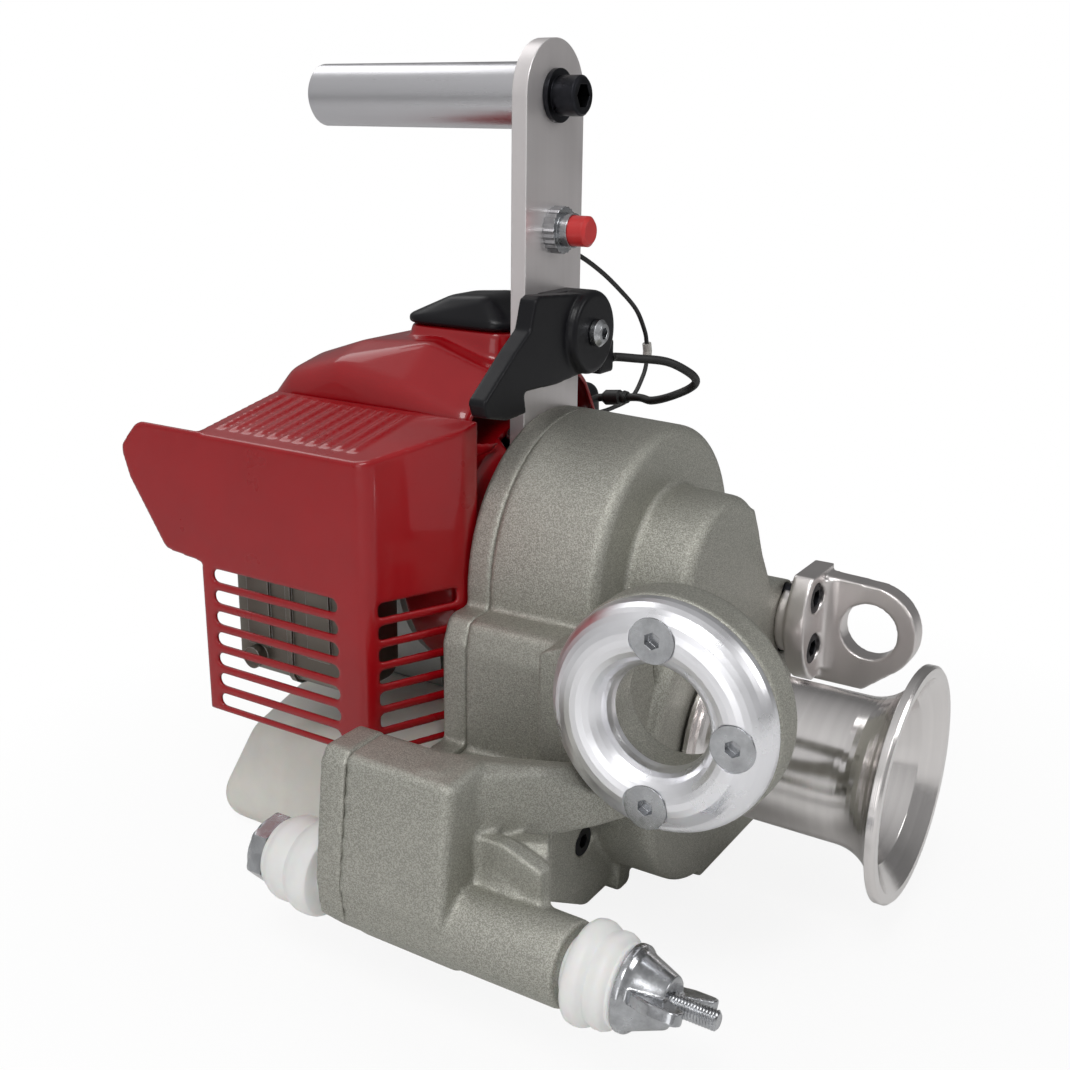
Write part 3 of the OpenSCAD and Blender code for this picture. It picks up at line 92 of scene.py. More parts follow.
# %% Node helpers
MIX_FACTOR, MIX_FIRST, MIX_SECOND, MIX_RESULT = 0, 6, 7, 2
WHITE = (1, 1, 1, 1)


def put(tree, kind, inputs=None, **settings):
    """Adds one node. Inputs are keyed by socket name or number."""
    node = tree.nodes.new(kind)
    for key, value in settings.items():
        setattr(node, key, value)
    for key, value in (inputs or {}).items():
        socket = node.inputs[key]
        if isinstance(value, bpy.types.NodeSocket):
            tree.links.new(value, socket)
        else:
            socket.default_value = value
    return node


def maths(tree, operation, *values):
    """A Math node's result."""
    return put(tree, "ShaderNodeMath", dict(enumerate(values)), operation=operation).outputs[0]


def stretch(tree, value, low, high, to_low, to_high):
    """Maps value from low..high to to_low..to_high."""
    inputs = {"Value": value, 1: low, 2: high, 3: to_low, 4: to_high}
    return put(tree, "ShaderNodeMapRange", inputs).outputs[0]


def blend_colours(tree, factor, first, second):
    """Mixes two colours. A Mix node keeps its colour sockets at fixed numbers."""
    inputs = {MIX_FACTOR: factor, MIX_FIRST: first, MIX_SECOND: second}
    return put(tree, "ShaderNodeMix", inputs, data_type="RGBA").outputs[MIX_RESULT]


def darkened(colour, share):
    """The colour with its red, green and blue times share."""
    return tuple(share * c for c in colour[:3]) + (1,)


def new_group(name, inputs, outputs):
    """A shader node group with named sockets. Each entry is name: (kind, default)."""
    tree = bpy.data.node_groups.new(name, "ShaderNodeTree")
    for label, (kind, default) in inputs.items():
        socket = tree.interface.new_socket(label, in_out="INPUT", socket_type="NodeSocket" + kind)
        socket.default_value = default
    for label, kind in outputs.items():
        tree.interface.new_socket(label, in_out="OUTPUT", socket_type="NodeSocket" + kind)
    way_in = tree.nodes.new("NodeGroupInput").outputs
    way_out = tree.nodes.new("NodeGroupOutput").inputs
    return tree, way_in, way_out


def use_group(tree, group, **values):
    """Places a group in a material and returns its outputs. Socket names have _ for a space."""
    inputs = {label.replace("_", " "): value for label, value in values.items()}
    return put(tree, "ShaderNodeGroup", inputs, node_tree=group).outputs


print("helpers put, maths, stretch, blend_colours, darkened, new_group, use_group")

# %% [markdown]
# Real edges are never knife sharp: a light bead runs along each one.
# A bevel could be cut into every mesh, but the shader's Bevel node rounds the normals alone,
# and comparing it with the true normal also tells where the edges are, for a painted highlight along them.

# %% Soft edges
EDGE_STARTS = 0.995
EDGE_FULL = 0.90


def make_soft_edges():
    """Rounded normals, and a mask that is 1 where they lean most from the face."""
    tree, way_in, way_out = new_group(
        "Soft edges",
        {"Radius": ("Float", 0.0006)},
        {"Normal": "Vector", "Edge": "Float"},
    )
    bevel = put(tree, "ShaderNodeBevel", {"Radius": way_in["Radius"]}, samples=6).outputs[0]
    face_normal = put(tree, "ShaderNodeNewGeometry").outputs["Normal"]
    inputs = {0: bevel, 1: face_normal}
    dot = put(tree, "ShaderNodeVectorMath", inputs, operation="DOT_PRODUCT").outputs["Value"]
    edge = stretch(tree, dot, EDGE_STARTS, EDGE_FULL, 0.0, 1.0)
    tree.links.new(bevel, way_out["Normal"])
    tree.links.new(edge, way_out["Edge"])
    return tree


SOFT_EDGES = make_soft_edges()
print("group", SOFT_EDGES.name)

# %% [markdown]
# Sand leaves a skin of rounded grains about half a millimetre across, each catching the light differently.
# A photograph of sand would show its seams, so three textures make it: a noise with a finer cell pattern
# for the grains' height, the cells' own random greys for the sparkle, and a broad noise for the slow swells.

# %% Cast grain
SWELLS_PER_METRE = 28.0
CELLS_PER_GRAIN = 1.5


def make_cast_grain():
    """The height and sparkle of sand grains, and slow swells of tone."""
    tree, way_in, way_out = new_group(
        "Cast grain",
        {"Grains per metre": ("Float", 1700.0)},
        {"Height": "Float", "Sparkle": "Float", "Swell": "Float"},
    )
    place = put(tree, "ShaderNodeTexCoord").outputs["Object"]
    scale = way_in["Grains per metre"]
    inputs = {"Vector": place, "Scale": scale, "Detail": 3.0, "Roughness": 0.6}
    coarse = put(tree, "ShaderNodeTexNoise", inputs)
    fine_scale = maths(tree, "MULTIPLY", scale, CELLS_PER_GRAIN)
    cells = put(tree, "ShaderNodeTexVoronoi", {"Vector": place, "Scale": fine_scale})
    swell = put(tree, "ShaderNodeTexNoise", {"Vector": place, "Scale": SWELLS_PER_METRE, "Detail": 2.0})
    grey = put(tree, "ShaderNodeRGBToBW", {0: cells.outputs["Color"]}).outputs[0]
    domes = maths(tree, "MULTIPLY", cells.outputs["Distance"], -0.5)
    height = maths(tree, "ADD", coarse.outputs[0], domes)
    tree.links.new(height, way_out["Height"])
    tree.links.new(stretch(tree, grey, 0.35, 0.75, 0.0, 1.0), way_out["Sparkle"])
    tree.links.new(swell.outputs[0], way_out["Swell"])
    return tree


CAST_GRAIN = make_cast_grain()
print("group", CAST_GRAIN.name)

# %% [markdown]
# A lathe leaves fine rings round its axis. An image of rings would need unwrapped meshes,
# so a noise is read at the distance from the axis and the height along it: it can only change in rings.

# %% Turned rings
BROAD_RINGS_PER_METRE = 260.0


def make_turned_rings():
    """Fine rings for the height and broad ones for the shade, round an axis through the centre."""
    tree, way_in, way_out = new_group(
        "Turned rings",
        {
            "Centre": ("Vector", (0, 0, 0)),
            "Axis": ("Vector", (0, 1, 0)),
            "Rings per metre": ("Float", 2200.0),
        },
        {"Height": "Float", "Shade": "Float"},
    )
    place = put(tree, "ShaderNodeTexCoord").outputs["Object"]
    inputs = {0: place, 1: way_in["Centre"]}
    arm = put(tree, "ShaderNodeVectorMath", inputs, operation="SUBTRACT").outputs[0]
    dot = put(tree, "ShaderNodeVectorMath", {0: arm, 1: way_in["Axis"]}, operation="DOT_PRODUCT")
    along = dot.outputs["Value"]
    inputs = {0: way_in["Axis"], "Scale": along}
    foot = put(tree, "ShaderNodeVectorMath", inputs, operation="SCALE").outputs[0]
    out = put(tree, "ShaderNodeVectorMath", {0: arm, 1: foot}, operation="SUBTRACT").outputs[0]
    radius = put(tree, "ShaderNodeVectorMath", {0: out}, operation="LENGTH").outputs["Value"]
    spot = put(tree, "ShaderNodeCombineXYZ", {0: radius, 1: along}).outputs[0]
    inputs = {"Vector": spot, "Scale": way_in["Rings per metre"], "Detail": 2.0}
    fine = put(tree, "ShaderNodeTexNoise", inputs)
    inputs = {"Vector": spot, "Scale": BROAD_RINGS_PER_METRE, "Detail": 3.0}
    broad = put(tree, "ShaderNodeTexNoise", inputs)
    tree.links.new(fine.outputs[0], way_out["Height"])
    tree.links.new(broad.outputs[0], way_out["Shade"])
    return tree


TURNED_RINGS = make_turned_rings()
print("group", TURNED_RINGS.name)

# %% [markdown]
# A grinding belt leaves straight lines along the bar. The same noise makes them
# once its space is squeezed by a different scale per axis: a low scale lies along the lines.

# %% Brushed lines
BROAD_SHARE = 0.07


def make_brushed_lines():
    """Fine lines for the height and broad ones for the shade."""
    tree, way_in, way_out = new_group(
        "Brushed lines",
        {"Lines": ("Vector", (1800, 1800, 12))},
        {"Height": "Float", "Shade": "Float"},
    )
    place = put(tree, "ShaderNodeTexCoord").outputs["Object"]
    inputs = {0: place, 1: way_in["Lines"]}
    squeezed = put(tree, "ShaderNodeVectorMath", inputs, operation="MULTIPLY").outputs[0]
    inputs = {"Vector": squeezed, "Scale": 1.0, "Detail": 3.0, "Roughness": 0.7}
    fine = put(tree, "ShaderNodeTexNoise", inputs)
    broad = put(tree, "ShaderNodeTexNoise", {"Vector": squeezed, "Scale": BROAD_SHARE, "Detail": 2.0})
    tree.links.new(fine.outputs[0], way_out["Height"])
    tree.links.new(broad.outputs[0], way_out["Shade"])
    return tree


BRUSHED_LINES = make_brushed_lines()
print("group", BRUSHED_LINES.name)

# %% [markdown]
# Moulded and handled surfaces show faint smudges and a fine texture.
# Painting them would take an image for each piece. Two noises in one group do it for all,
# at sizes that each material sets.

# %% Smudges
def make_smudges():
    """Soft patches, and a fine even texture."""
    tree, way_in, way_out = new_group(
        "Smudges",
        {"Patches per metre": ("Float", 30.0), "Texture per metre": ("Float", 1500.0)},
        {"Patch": "Float", "Texture": "Float"},
    )
    place = put(tree, "ShaderNodeTexCoord").outputs["Object"]
    inputs = {"Vector": place, "Scale": way_in["Patches per metre"], "Detail": 4.0, "Roughness": 0.6}
    patch = put(tree, "ShaderNodeTexNoise", inputs)
    inputs = {"Vector": place, "Scale": way_in["Texture per metre"], "Detail": 2.0}
    fine = put(tree, "ShaderNodeTexNoise", inputs)
    tree.links.new(patch.outputs[0], way_out["Patch"])
    tree.links.new(fine.outputs[0], way_out["Texture"])
    return tree


SMUDGES = make_smudges()
print("group", SMUDGES.name)

# %% [markdown]
# Every finish ends in one Principled shader.
# Its even values could come from nodes too, but they are easier to find, and other programs read them,
# when they sit on the shader's own sockets. Only what changes over the surface is linked.

# %% Finish helper
def new_finish(name, **sockets):
    """A material with a Principled shader. Socket names have _ for a space."""
    material = bpy.data.materials.new(name)
    material.use_nodes = True
    tree = material.node_tree
    shader = tree.nodes["Principled BSDF"]
    for label, value in sockets.items():
        shader.inputs[label.replace("_", " ")].default_value = value
    return material, tree, shader


def bump(tree, height, distance, normal):
    """A Bump node: height times distance, in metres, on top of the soft edges' normal."""
    inputs = {"Height": height, "Distance": distance, "Normal": normal, "Strength": 1.0}
    return put(tree, "ShaderNodeBump", inputs).outputs[0]


def join(tree, shader, **links):
    """Links sockets to the shader by name."""
    for label, socket in links.items():
        tree.links.new(socket, shader.inputs[label.replace("_", " ")])


# %% [markdown]
# The gearbox and foot are sand-cast aluminium, a warm grey with bright grains.
# Pure metal would turn black between its highlights. The real skin is rough and oxidised and scatters
# light, so the metallic value stays below 1. The edges are painted a little brighter, as a painted highlight
# along each rounded edge.

# %% Sand-cast aluminium
CAST_DARK = (0.288, 0.286, 0.25, 1)
CAST_PALE = (0.342, 0.339, 0.299, 1)
CAST_GRAIN_TIPS = (0.485, 0.48, 0.432, 1)
CAST_EDGE_HIGHLIGHT = (0.66, 0.65, 0.61, 1)
GRAINS_PER_METRE = 1700.0
GRAIN_HEIGHT = 0.00022


def cast_finish():
    """Warm grey metal with pale grain tips and a painted highlight along the edges."""
    material, tree, shader = new_finish("sand_cast_aluminium", Metallic=0.72, Roughness=0.5)
    grain = use_group(tree, CAST_GRAIN, Grains_per_metre=GRAINS_PER_METRE)
    edges = use_group(tree, SOFT_EDGES, Radius=0.0012)
    dull = blend_colours(tree, grain["Swell"], CAST_DARK, CAST_PALE)
    bright = blend_colours(tree, grain["Sparkle"], dull, CAST_GRAIN_TIPS)
    # Painted highlight: the edge mask makes the colour itself paler along every edge.
    edge_highlight_share = maths(tree, "MULTIPLY", edges["Edge"], 0.35)
    with_edge_highlight = blend_colours(tree, edge_highlight_share, bright, CAST_EDGE_HIGHLIGHT)
    rough = stretch(tree, grain["Sparkle"], 0.0, 1.0, 0.52, 0.38)
    normal = bump(tree, grain["Height"], GRAIN_HEIGHT, edges["Normal"])
    join(tree, shader, Base_Color=with_edge_highlight, Roughness=rough, Normal=normal)
    return material


CAST = cast_finish()
print("finish", CAST.name)

# %% [markdown]
# The rope drum is turned bright, and the guide ring is rubbed to an even polish: its lines are finer
# and its highlights wider. The shafts and gears are turned too, so one function makes all four finishes
# from their axis and centre. Fine rings pull a highlight out across them,
# and the shader does the same with its anisotropic value, given a tangent that runs round the axis.

# %% Turned aluminium
ALONG_X = (1, 0, 0)
ALONG_Y = (0, 1, 0)
DRUM_CENTRE = (0, 0, 0.075)
CRANK_CENTRE = (0, 0, 0.151)
ring_low, ring_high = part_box("fairlead_ring")
RING_CENTRE = tuple((ring_low + ring_high) / 2)


def turned_finish(name, centre, axis, colour, rough, depth, streak=0.0, shade=0.84):
    """Turned metal. Depth is the rings' height in metres, and shade the darkest share of the colour."""
    material, tree, shader = new_finish(name, Metallic=1.0, Anisotropic=streak)
    if streak:
        letter = "X" if axis[0] else "Y"
        round_axis = put(tree, "ShaderNodeTangent", direction_type="RADIAL", axis=letter).outputs[0]
        join(tree, shader, Tangent=round_axis)
    marks = use_group(tree, TURNED_RINGS, Centre=centre, Axis=axis)
    edges = use_group(tree, SOFT_EDGES, Radius=0.0005)
    worn = use_group(tree, SMUDGES, Patches_per_metre=45.0)
    tone = blend_colours(tree, marks["Shade"], darkened(colour, shade), colour)
    banded = maths(tree, "MULTIPLY", marks["Shade"], 2 * (1 - shade))
    mixed = maths(tree, "ADD", banded, worn["Patch"])
    roughness = stretch(tree, mixed, 0.35, 0.85, rough * 0.7, rough * 1.4)
    normal = bump(tree, marks["Height"], depth, edges["Normal"])
    join(tree, shader, Base_Color=tone, Roughness=roughness, Normal=normal)
    return material


DRUM_SILVER = (0.86, 0.83, 0.82, 1)
WARM_SILVER = (0.84, 0.80, 0.79, 1)
DRUM = turned_finish("turned_drum", DRUM_CENTRE, ALONG_Y, DRUM_SILVER, 0.15, 0.00002, streak=0.5)
RING = turned_finish("polished_ring", RING_CENTRE, ALONG_X, (0.93, 0.93, 0.96, 1), 0.34, 0.000006,
                     streak=0.3, shade=0.97)
CRANK_BRIGHT = turned_finish("turned_shaft", CRANK_CENTRE, ALONG_Y, (0.62, 0.62, 0.63, 1), 0.3, 0.00002)
DRUM_BRIGHT = turned_finish("turned_gear", DRUM_CENTRE, ALONG_Y, (0.60, 0.60, 0.61, 1), 0.3, 0.00002)
print("ring centre", [round(v, 4) for v in RING_CENTRE])

# %% [markdown]
# The handle bar and its grip are cut from flat and round stock, with the mill's straight lines.
# The anchor ear is milled, and the die-cast engine and the pressed muffler are duller:
# they take the same recipe with other lines, colours and roughness.

# %% Brushed aluminium
# A pale colour painted on the edges as a highlight.
EDGE_HIGHLIGHT_COLOUR = (0.9, 0.9, 0.9, 1)
LINE_DEPTH = 0.00002


def brushed_finish(name, lines, colour, rough, edge=0.0006, metal=1.0):
    """Ground, milled or cast metal, with so many lines per metre along each axis."""
    material, tree, shader = new_finish(name, Metallic=metal)
    marks = use_group(tree, BRUSHED_LINES, Lines=lines)
    edges = use_group(tree, SOFT_EDGES, Radius=edge)
    worn = use_group(tree, SMUDGES, Patches_per_metre=24.0)
    tone = blend_colours(tree, marks["Shade"], darkened(colour, 0.82), colour)
    # Painted highlight: the edge mask makes the colour itself paler along every edge.
    edge_highlight_share = maths(tree, "MULTIPLY", edges["Edge"], 0.5)
    with_edge_highlight = blend_colours(tree, edge_highlight_share, tone, EDGE_HIGHLIGHT_COLOUR)
    mixed = maths(tree, "ADD", marks["Height"], worn["Patch"])
    roughness = stretch(tree, mixed, 0.6, 1.4, rough * 0.8, rough * 1.25)
    normal = bump(tree, marks["Height"], LINE_DEPTH, edges["Normal"])
    join(tree, shader, Base_Color=with_edge_highlight, Roughness=roughness, Normal=normal)
    return material


BAR = brushed_finish("brushed_bar", (1500, 1500, 9), (0.86, 0.82, 0.82, 1), 0.36, metal=0.75)
GRIP = brushed_finish("brushed_grip", (1500, 9, 1500), (0.66, 0.655, 0.68, 1), 0.3)
EAR = brushed_finish("milled_ear", (900, 900, 30), WARM_SILVER, 0.32, edge=0.001)
ALLOY = brushed_finish("die_cast_alloy", (400, 420, 380), (0.42, 0.42, 0.41, 1), 0.5)
MUFFLER_STEEL = brushed_finish("pressed_muffler_steel", (300, 40, 300), (0.25, 0.235, 0.205, 1), 0.42)
print("brushed", [finish.name for finish in (BAR, GRIP, EAR, ALLOY, MUFFLER_STEEL)])

# %% [markdown]
# Screws, bolt and wing nut are zinc plated: bright, cool grey and slightly wavy.
# The black screws and the plug are oiled black steel.
# An even smooth metal would look like chrome, so small patches vary both its tone and its roughness.

# %% Plated and blackened steel
def plated_finish(name, colour, rough, wave):
    """Screw steel. Wave is the height of its unevenness in metres."""
    material, tree, shader = new_finish(name, Metallic=1.0)
    worn = use_group(tree, SMUDGES, Patches_per_metre=160.0, Texture_per_metre=900.0)
    edges = use_group(tree, SOFT_EDGES, Radius=0.0004)
    cover = stretch(tree, worn["Patch"], 0.35, 0.65, 0, 1)
    tone = blend_colours(tree, cover, darkened(colour, 0.7), colour)
    roughness = stretch(tree, worn["Patch"], 0.3, 0.7, rough * 0.7, rough * 1.5)
    normal = bump(tree, worn["Texture"], wave, edges["Normal"])
    join(tree, shader, Base_Color=tone, Roughness=roughness, Normal=normal)
    return material


ZINC = plated_finish("zinc_plate", (0.52, 0.53, 0.55, 1), 0.2, 0.000015)
BLACK_STEEL = plated_finish("blackened_steel", (0.035, 0.036, 0.042, 1), 0.34, 0.00003)
print("plated", ZINC.name, BLACK_STEEL.name)

# %% [markdown]
# The engine covers are deep red gloss plastic, and the controls are satin black plastic.
# Low roughness alone looks like glass: a coat over a slightly rough base gives the covers their wet
# highlight. Nylon and the tank let some light in, so they scatter it below the surface.

# %% Moulded plastics
def plastic_finish(name, colour, rough, coat, texture, edge, scale=1500.0, **sockets):
    """A moulding. Texture is the height of its skin in metres, and scale its count per metre."""
    material, tree, shader = new_finish(name, Coat_Weight=coat, Coat_Roughness=0.06, **sockets)
    worn = use_group(tree, SMUDGES, Patches_per_metre=22.0, Texture_per_metre=scale)
    edges = use_group(tree, SOFT_EDGES, Radius=edge)
    cover = stretch(tree, worn["Patch"], 0.3, 0.7, 0, 1)
    tone = blend_colours(tree, cover, darkened(colour, 0.86), colour)
    roughness = stretch(tree, worn["Patch"], 0.3, 0.7, rough * 0.85, rough * 1.2)
    normal = bump(tree, worn["Texture"], texture, edges["Normal"])
    join(tree, shader, Base_Color=tone, Roughness=roughness, Normal=normal)
    return material


RED = plastic_finish("deep_red_cover", (0.34, 0.001, 0.005, 1), 0.3, 0.6, 0.000003, 0.002, 400.0, IOR=1.32)
BUTTON_RED = plastic_finish("button_red", (0.62, 0.03, 0.03, 1), 0.4, 0.2, 0.00001, 0.0008)
BLACK = plastic_finish("black_moulding", (0.005, 0.005, 0.007, 1), 0.34, 0.0, 0.00002, 0.0008, IOR=1.33)
NYLON = plastic_finish("white_nylon", (0.95, 0.95, 0.935, 1), 0.45, 0.0, 0.00002, 0.001,
                       Subsurface_Weight=0.2, Subsurface_Scale=0.002)
RUBBER = plastic_finish("black_sheath", (0.012, 0.012, 0.012, 1), 0.5, 0.0, 0.00003, 0.0003)
TANK = plastic_finish("milky_tank", (0.76, 0.74, 0.69, 1), 0.42, 0.0, 0.00004, 0.001, 700.0,
                      Subsurface_Weight=0.35, Subsurface_Scale=0.008)
SLEEVE = plastic_finish("cloudy_sleeve", (0.52, 0.50, 0.47, 1), 0.35, 0.3, 0.00002, 0.0003)
AMBER = plastic_finish("amber_bulb", (0.60, 0.30, 0.08, 1), 0.3, 0.3, 0.00001, 0.0005)
print("finishes", len(bpy.data.materials))

# %% [markdown]
# Each CAD node gets its finish by name. A call per node would do the same,
# but a table reads like a parts list.
# What a modelled piece replaces later gets one too, so that nothing is left bare.

# %% Dress the CAD nodes
WEARS = [
    (CAST, "housing rear_plate bearing_plate"),
    (DRUM, "drum"),
    (RING, "fairlead_ring"),
    (BAR, "handle_plate"),
    (GRIP, "handle_grip"),
    (EAR, "anchor_bracket"),
    (ZINC, "case_screws fairlead_screws clamp_bolt wing_nut stop_switch throttle_screw drum_screw"),
    (BLACK_STEEL, "oil_plug anchor_screws grip_screw"),
    (DRUM_BRIGHT, "drum_shaft drum_gear"),
    (CRANK_BRIGHT, "ring_gear ball_bearings planet_carrier pinion planet_1 planet_2 planet_3 sun_gear"),
    (CRANK_BRIGHT, "clutch_drum clutch_rotor clutch_shoes crankshaft"),
    (ALLOY, "flywheel crankcase cylinder carburettor"),
    (MUFFLER_STEEL, "muffler"),
    (RED, "muffler_cover top_shroud fan_housing"),
    (BUTTON_RED, "stop_button"),
    (BLACK, "throttle_body throttle_lever plug_cover fuel_cap choke_lever air_cleaner"),
    (BLACK, "starter_housing starter_pulley starter_handle"),
    (NYLON, "rear_bush front_bush"),
    (TANK, "fuel_tank"),
    (RUBBER, "drum_seal stop_wire throttle_cable cable_boot spark_plug"),
    (SLEEVE, "wire_sleeve"),
    (AMBER, "primer_bulb"),
]


def wear(piece, material):
    """Gives the piece one material."""
    piece.data.materials.clear()
    piece.data.materials.append(material)


for material, names in WEARS:
    for name in names.split():
        wear(nodes[name], material)
bare = set(nodes) - set(" ".join(names for _, names in WEARS).split())
print("bare nodes", sorted(bare))

# %% [markdown]
# Two free cords hang on the machine: the stop wire from the switch to the fan housing,
# and the throttle cable from the lever to the carburettor.
# Each is a curve through the same route points as the CAD sweep, with the same rounding between them,
# so it lies exactly where the solid it stands for lies. A curve keeps its round section in every bend.

# %% Cords
WIRE_ROUTE = [
    (3, 65.6, 309), (7, 71, 308), (20, 73, 304), (33, 70, 299), (47, 64, 294), (68, 62, 284), (90, 62, 272),
    (110, 62, 259), (121, 62, 246), (124, 62, 239), (125.5, 62, 234), (125, 62, 228), (121, 62, 220),
    (112, 64, 209), (98, 70, 204), (80, 75, 202), (65, 76, 196.6), (59.1, 76, 192.5),
]
CABLE_ROUTE = [
    (31.4, 34, 246), (36, 33.8, 246), (43, 26, 245), (54, 14, 243), (68, 8, 236), (77, 8, 230),
    (79, 13, 225), (76, 23, 220), (80, 35, 216), (87, 44, 215), (89, 49, 214.6), (89, 54, 214),
    (89, 62, 213), (89, 70.2, 212), (88, 74, 211), (78, 78, 208), (66, 80, 203), (61, 86, 194),
    (60, 93, 190), (60, 98.7, 190),
]
WIRE_RADIUS = 0.00125
CABLE_RADIUS = 0.0022
STEPS_PER_SPAN = 6
SECTION_SMOOTHNESS = 5


def rounded_route(route):
    """A smooth line through the route's points, given in millimetres."""
    p = [Vector(v) / 1000 for v in route]
    line = []
    for i in range(len(p) - 1):
        a, b, c, d = p[max(i - 1, 0)], p[i], p[i + 1], p[min(i + 2, len(p) - 1)]
        for k in range(STEPS_PER_SPAN):
            t = k / STEPS_PER_SPAN
            line.append(0.5 * (2 * b + (c - a) * t + (2 * a - 5 * b + 4 * c - d) * t * t
                               + (3 * b - a - 3 * c + d) * t ** 3))
    return line + [p[-1]]


def add_cord(name, route, radius, material, node):
    """A round cord along the route that stands for node."""
    line = rounded_route(route)
    data = bpy.data.curves.new(name, "CURVE")
    data.dimensions = "3D"
    data.bevel_depth = radius
    data.bevel_resolution = SECTION_SMOOTHNESS
    data.use_fill_caps = True
    spline = data.splines.new("POLY")
    spline.points.add(len(line) - 1)
    for point, place in zip(spline.points, line):
        point.co = (*place, 1)
    data.materials.append(material)
    cord = bpy.data.objects.new(name, data)
    bpy.context.collection.objects.link(cord)
    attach(cord, "root")
    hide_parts(node)


add_cord("stop_wire_run", WIRE_ROUTE, WIRE_RADIUS, RUBBER, "stop_wire")
add_cord("throttle_cable_run", CABLE_ROUTE, CABLE_RADIUS, RUBBER, "throttle_cable")

# %% [markdown]
# Castings and mouldings have no sharp corner anywhere: metal and plastic round off in the mould.
# Rounding each edge by hand would take a fillet per edge. Instead the CAD form is rebuilt on a fine grid
# and then relaxed, which melts every inner and outer corner a little, as a mould does.
# The grid also joins forms: a leaning web between the clamp boss and the arm is given by its corners
# and melts into the housing with the same soft joint as the rest.
# The table gives each piece's grid and its rounds of relaxing: few for crisp castings, many for mouldings.

# %% Melt the corners of cast and moulded pieces
WEB_CORNERS = [
    (-163, -50, 60), (-157, -50, 60), (-163, -6, 60), (-157, -6, 60),
    (-146, -42, 84), (-138, -38, 84), (-158, -6, 81), (-152, -6, 81),
]
ADDED_FORMS = {"housing": WEB_CORNERS}
RELAX_SHARE = 0.5


def with_added_form(mesh, corners):
    """A copy of mesh with the convex form round the corners, given in millimetres."""
    shape = bmesh.new()
    points = [shape.verts.new(Vector(corner) / 1000) for corner in corners]
    bmesh.ops.convex_hull(shape, input=points)
    bmesh.ops.recalc_face_normals(shape, faces=shape.faces)
    shape.from_mesh(mesh)
    joined = bpy.data.meshes.new(mesh.name + "_joined")
    shape.to_mesh(joined)
    shape.free()
    return joined


def melted(node, grid, rounds, material, slot, body="root"):
    """A copy of a CAD node, rebuilt on a grid (in metres) and relaxed. It stands for the node."""
    source = nodes[node]
    start = source.data.copy()
    if node in ADDED_FORMS:
        start = with_added_form(start, ADDED_FORMS[node])
    work = bpy.data.objects.new(node + "_work", start)
    bpy.context.collection.objects.link(work)
    work.matrix_world = source.matrix_world.copy()
    remesh = work.modifiers.new("grid", "REMESH")
    remesh.mode = "VOXEL"
    remesh.voxel_size = grid
    relax = work.modifiers.new("relax", "SMOOTH")
    relax.factor = RELAX_SHARE
    relax.iterations = rounds
    bpy.context.view_layer.update()
    depsgraph = bpy.context.evaluated_depsgraph_get()
    mesh = bpy.data.meshes.new_from_object(work.evaluated_get(depsgraph))
    bpy.data.objects.remove(work)
    for face in mesh.polygons:
        face.use_smooth = True
    mesh.materials.clear()
    mesh.materials.append(material)
    piece = bpy.data.objects.new(node + "_form", mesh)
    piece.matrix_world = source.matrix_world.copy()
    bpy.context.collection.objects.link(piece)
    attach(piece, body)
    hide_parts(node)
    print(piece.name, len(mesh.polygons), "faces")


MELTED = [
    ("housing", 0.0012, 4, CAST, "cast_aluminium"),
    ("rear_plate", 0.0012, 3, CAST, "cast_aluminium"),
    ("top_shroud", 0.0011, 24, RED, "red_plastic"),
    ("plug_cover", 0.0009, 24, BLACK, "black_plastic"),
    ("fuel_tank", 0.0015, 30, TANK, "tank_plastic"),
    ("air_cleaner", 0.0012, 16, BLACK, "black_plastic"),
    ("anchor_bracket", 0.0009, 4, EAR, "brushed_aluminium"),
    ("muffler_cover", 0.0009, 8, RED, "red_plastic"),
    ("throttle_body", 0.0006, 7, BLACK, "black_plastic"),
    ("throttle_lever", 0.0006, 8, BLACK, "black_plastic", "throttle_arm"),
    ("wing_nut", 0.0005, 6, ZINC, "zinc_steel", "clamp_nut"),
]  # node, grid in metres, rounds of relaxing, finish, slot and body
for recipe in MELTED:
    melted(*recipe)

# %% [markdown]
# The clamp bolt and its two bushes are round pieces with a profile of their own.
# Blender's Spin or Screw tools could turn them, but neither lets a radius change with the angle too.
# So one function stacks rings along Y, and a ring's radius may be a number or a function.

# %% Turned forms
SIDES = 120
SHARP_ANGLE = math.radians(32)


def turned_form(name, axis, stations, material, node):
    """A closed form round a line along Y that stands for node. A station is (y, radius or function)."""
    shape = bmesh.new()
    rings = []
    for y, radius in stations:
        ring = []
        for i in range(SIDES):
            angle = math.tau * i / SIDES
            r = radius(y, angle) if callable(radius) else radius
            place = (axis.x + r * math.cos(angle), y, axis.z + r * math.sin(angle))
            ring.append(shape.verts.new(place))
        rings.append(ring)
    for low, high in zip(rings, rings[1:]):
        for i in range(SIDES):
            k = (i + 1) % SIDES
            shape.faces.new((low[i], high[i], high[k], low[k]))
    shape.faces.new(rings[0])
    shape.faces.new(list(reversed(rings[-1])))
    bmesh.ops.recalc_face_normals(shape, faces=shape.faces)
    mesh = bpy.data.meshes.new(name)
    shape.to_mesh(mesh)
    shape.free()
    mesh.set_sharp_from_angle(angle=SHARP_ANGLE)
    for face in mesh.polygons:
        face.use_smooth = True
    mesh.materials.append(material)
    piece = bpy.data.objects.new(name, mesh)
    bpy.context.collection.objects.link(piece)
    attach(piece, "root")
    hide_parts(node)
    print(name, len(mesh.polygons), "faces")


def spread(low, high, count):
    """Evenly spaced values from low to high, both ends included."""
    return [low + (high - low) * i / count for i in range(count + 1)]


BOLT_AXIS = Vector((-0.165, 0, 0.048))
print("bolt axis", tuple(round(v, 3) for v in BOLT_AXIS))

# %% [markdown]
# Each bush is moulded in white nylon: a collar, a wide soft bead, a waist and a smaller bead.
# Its profile is a short list of points, so soft shading does the rest, and both bushes share it,
# stretched to their own lengths.

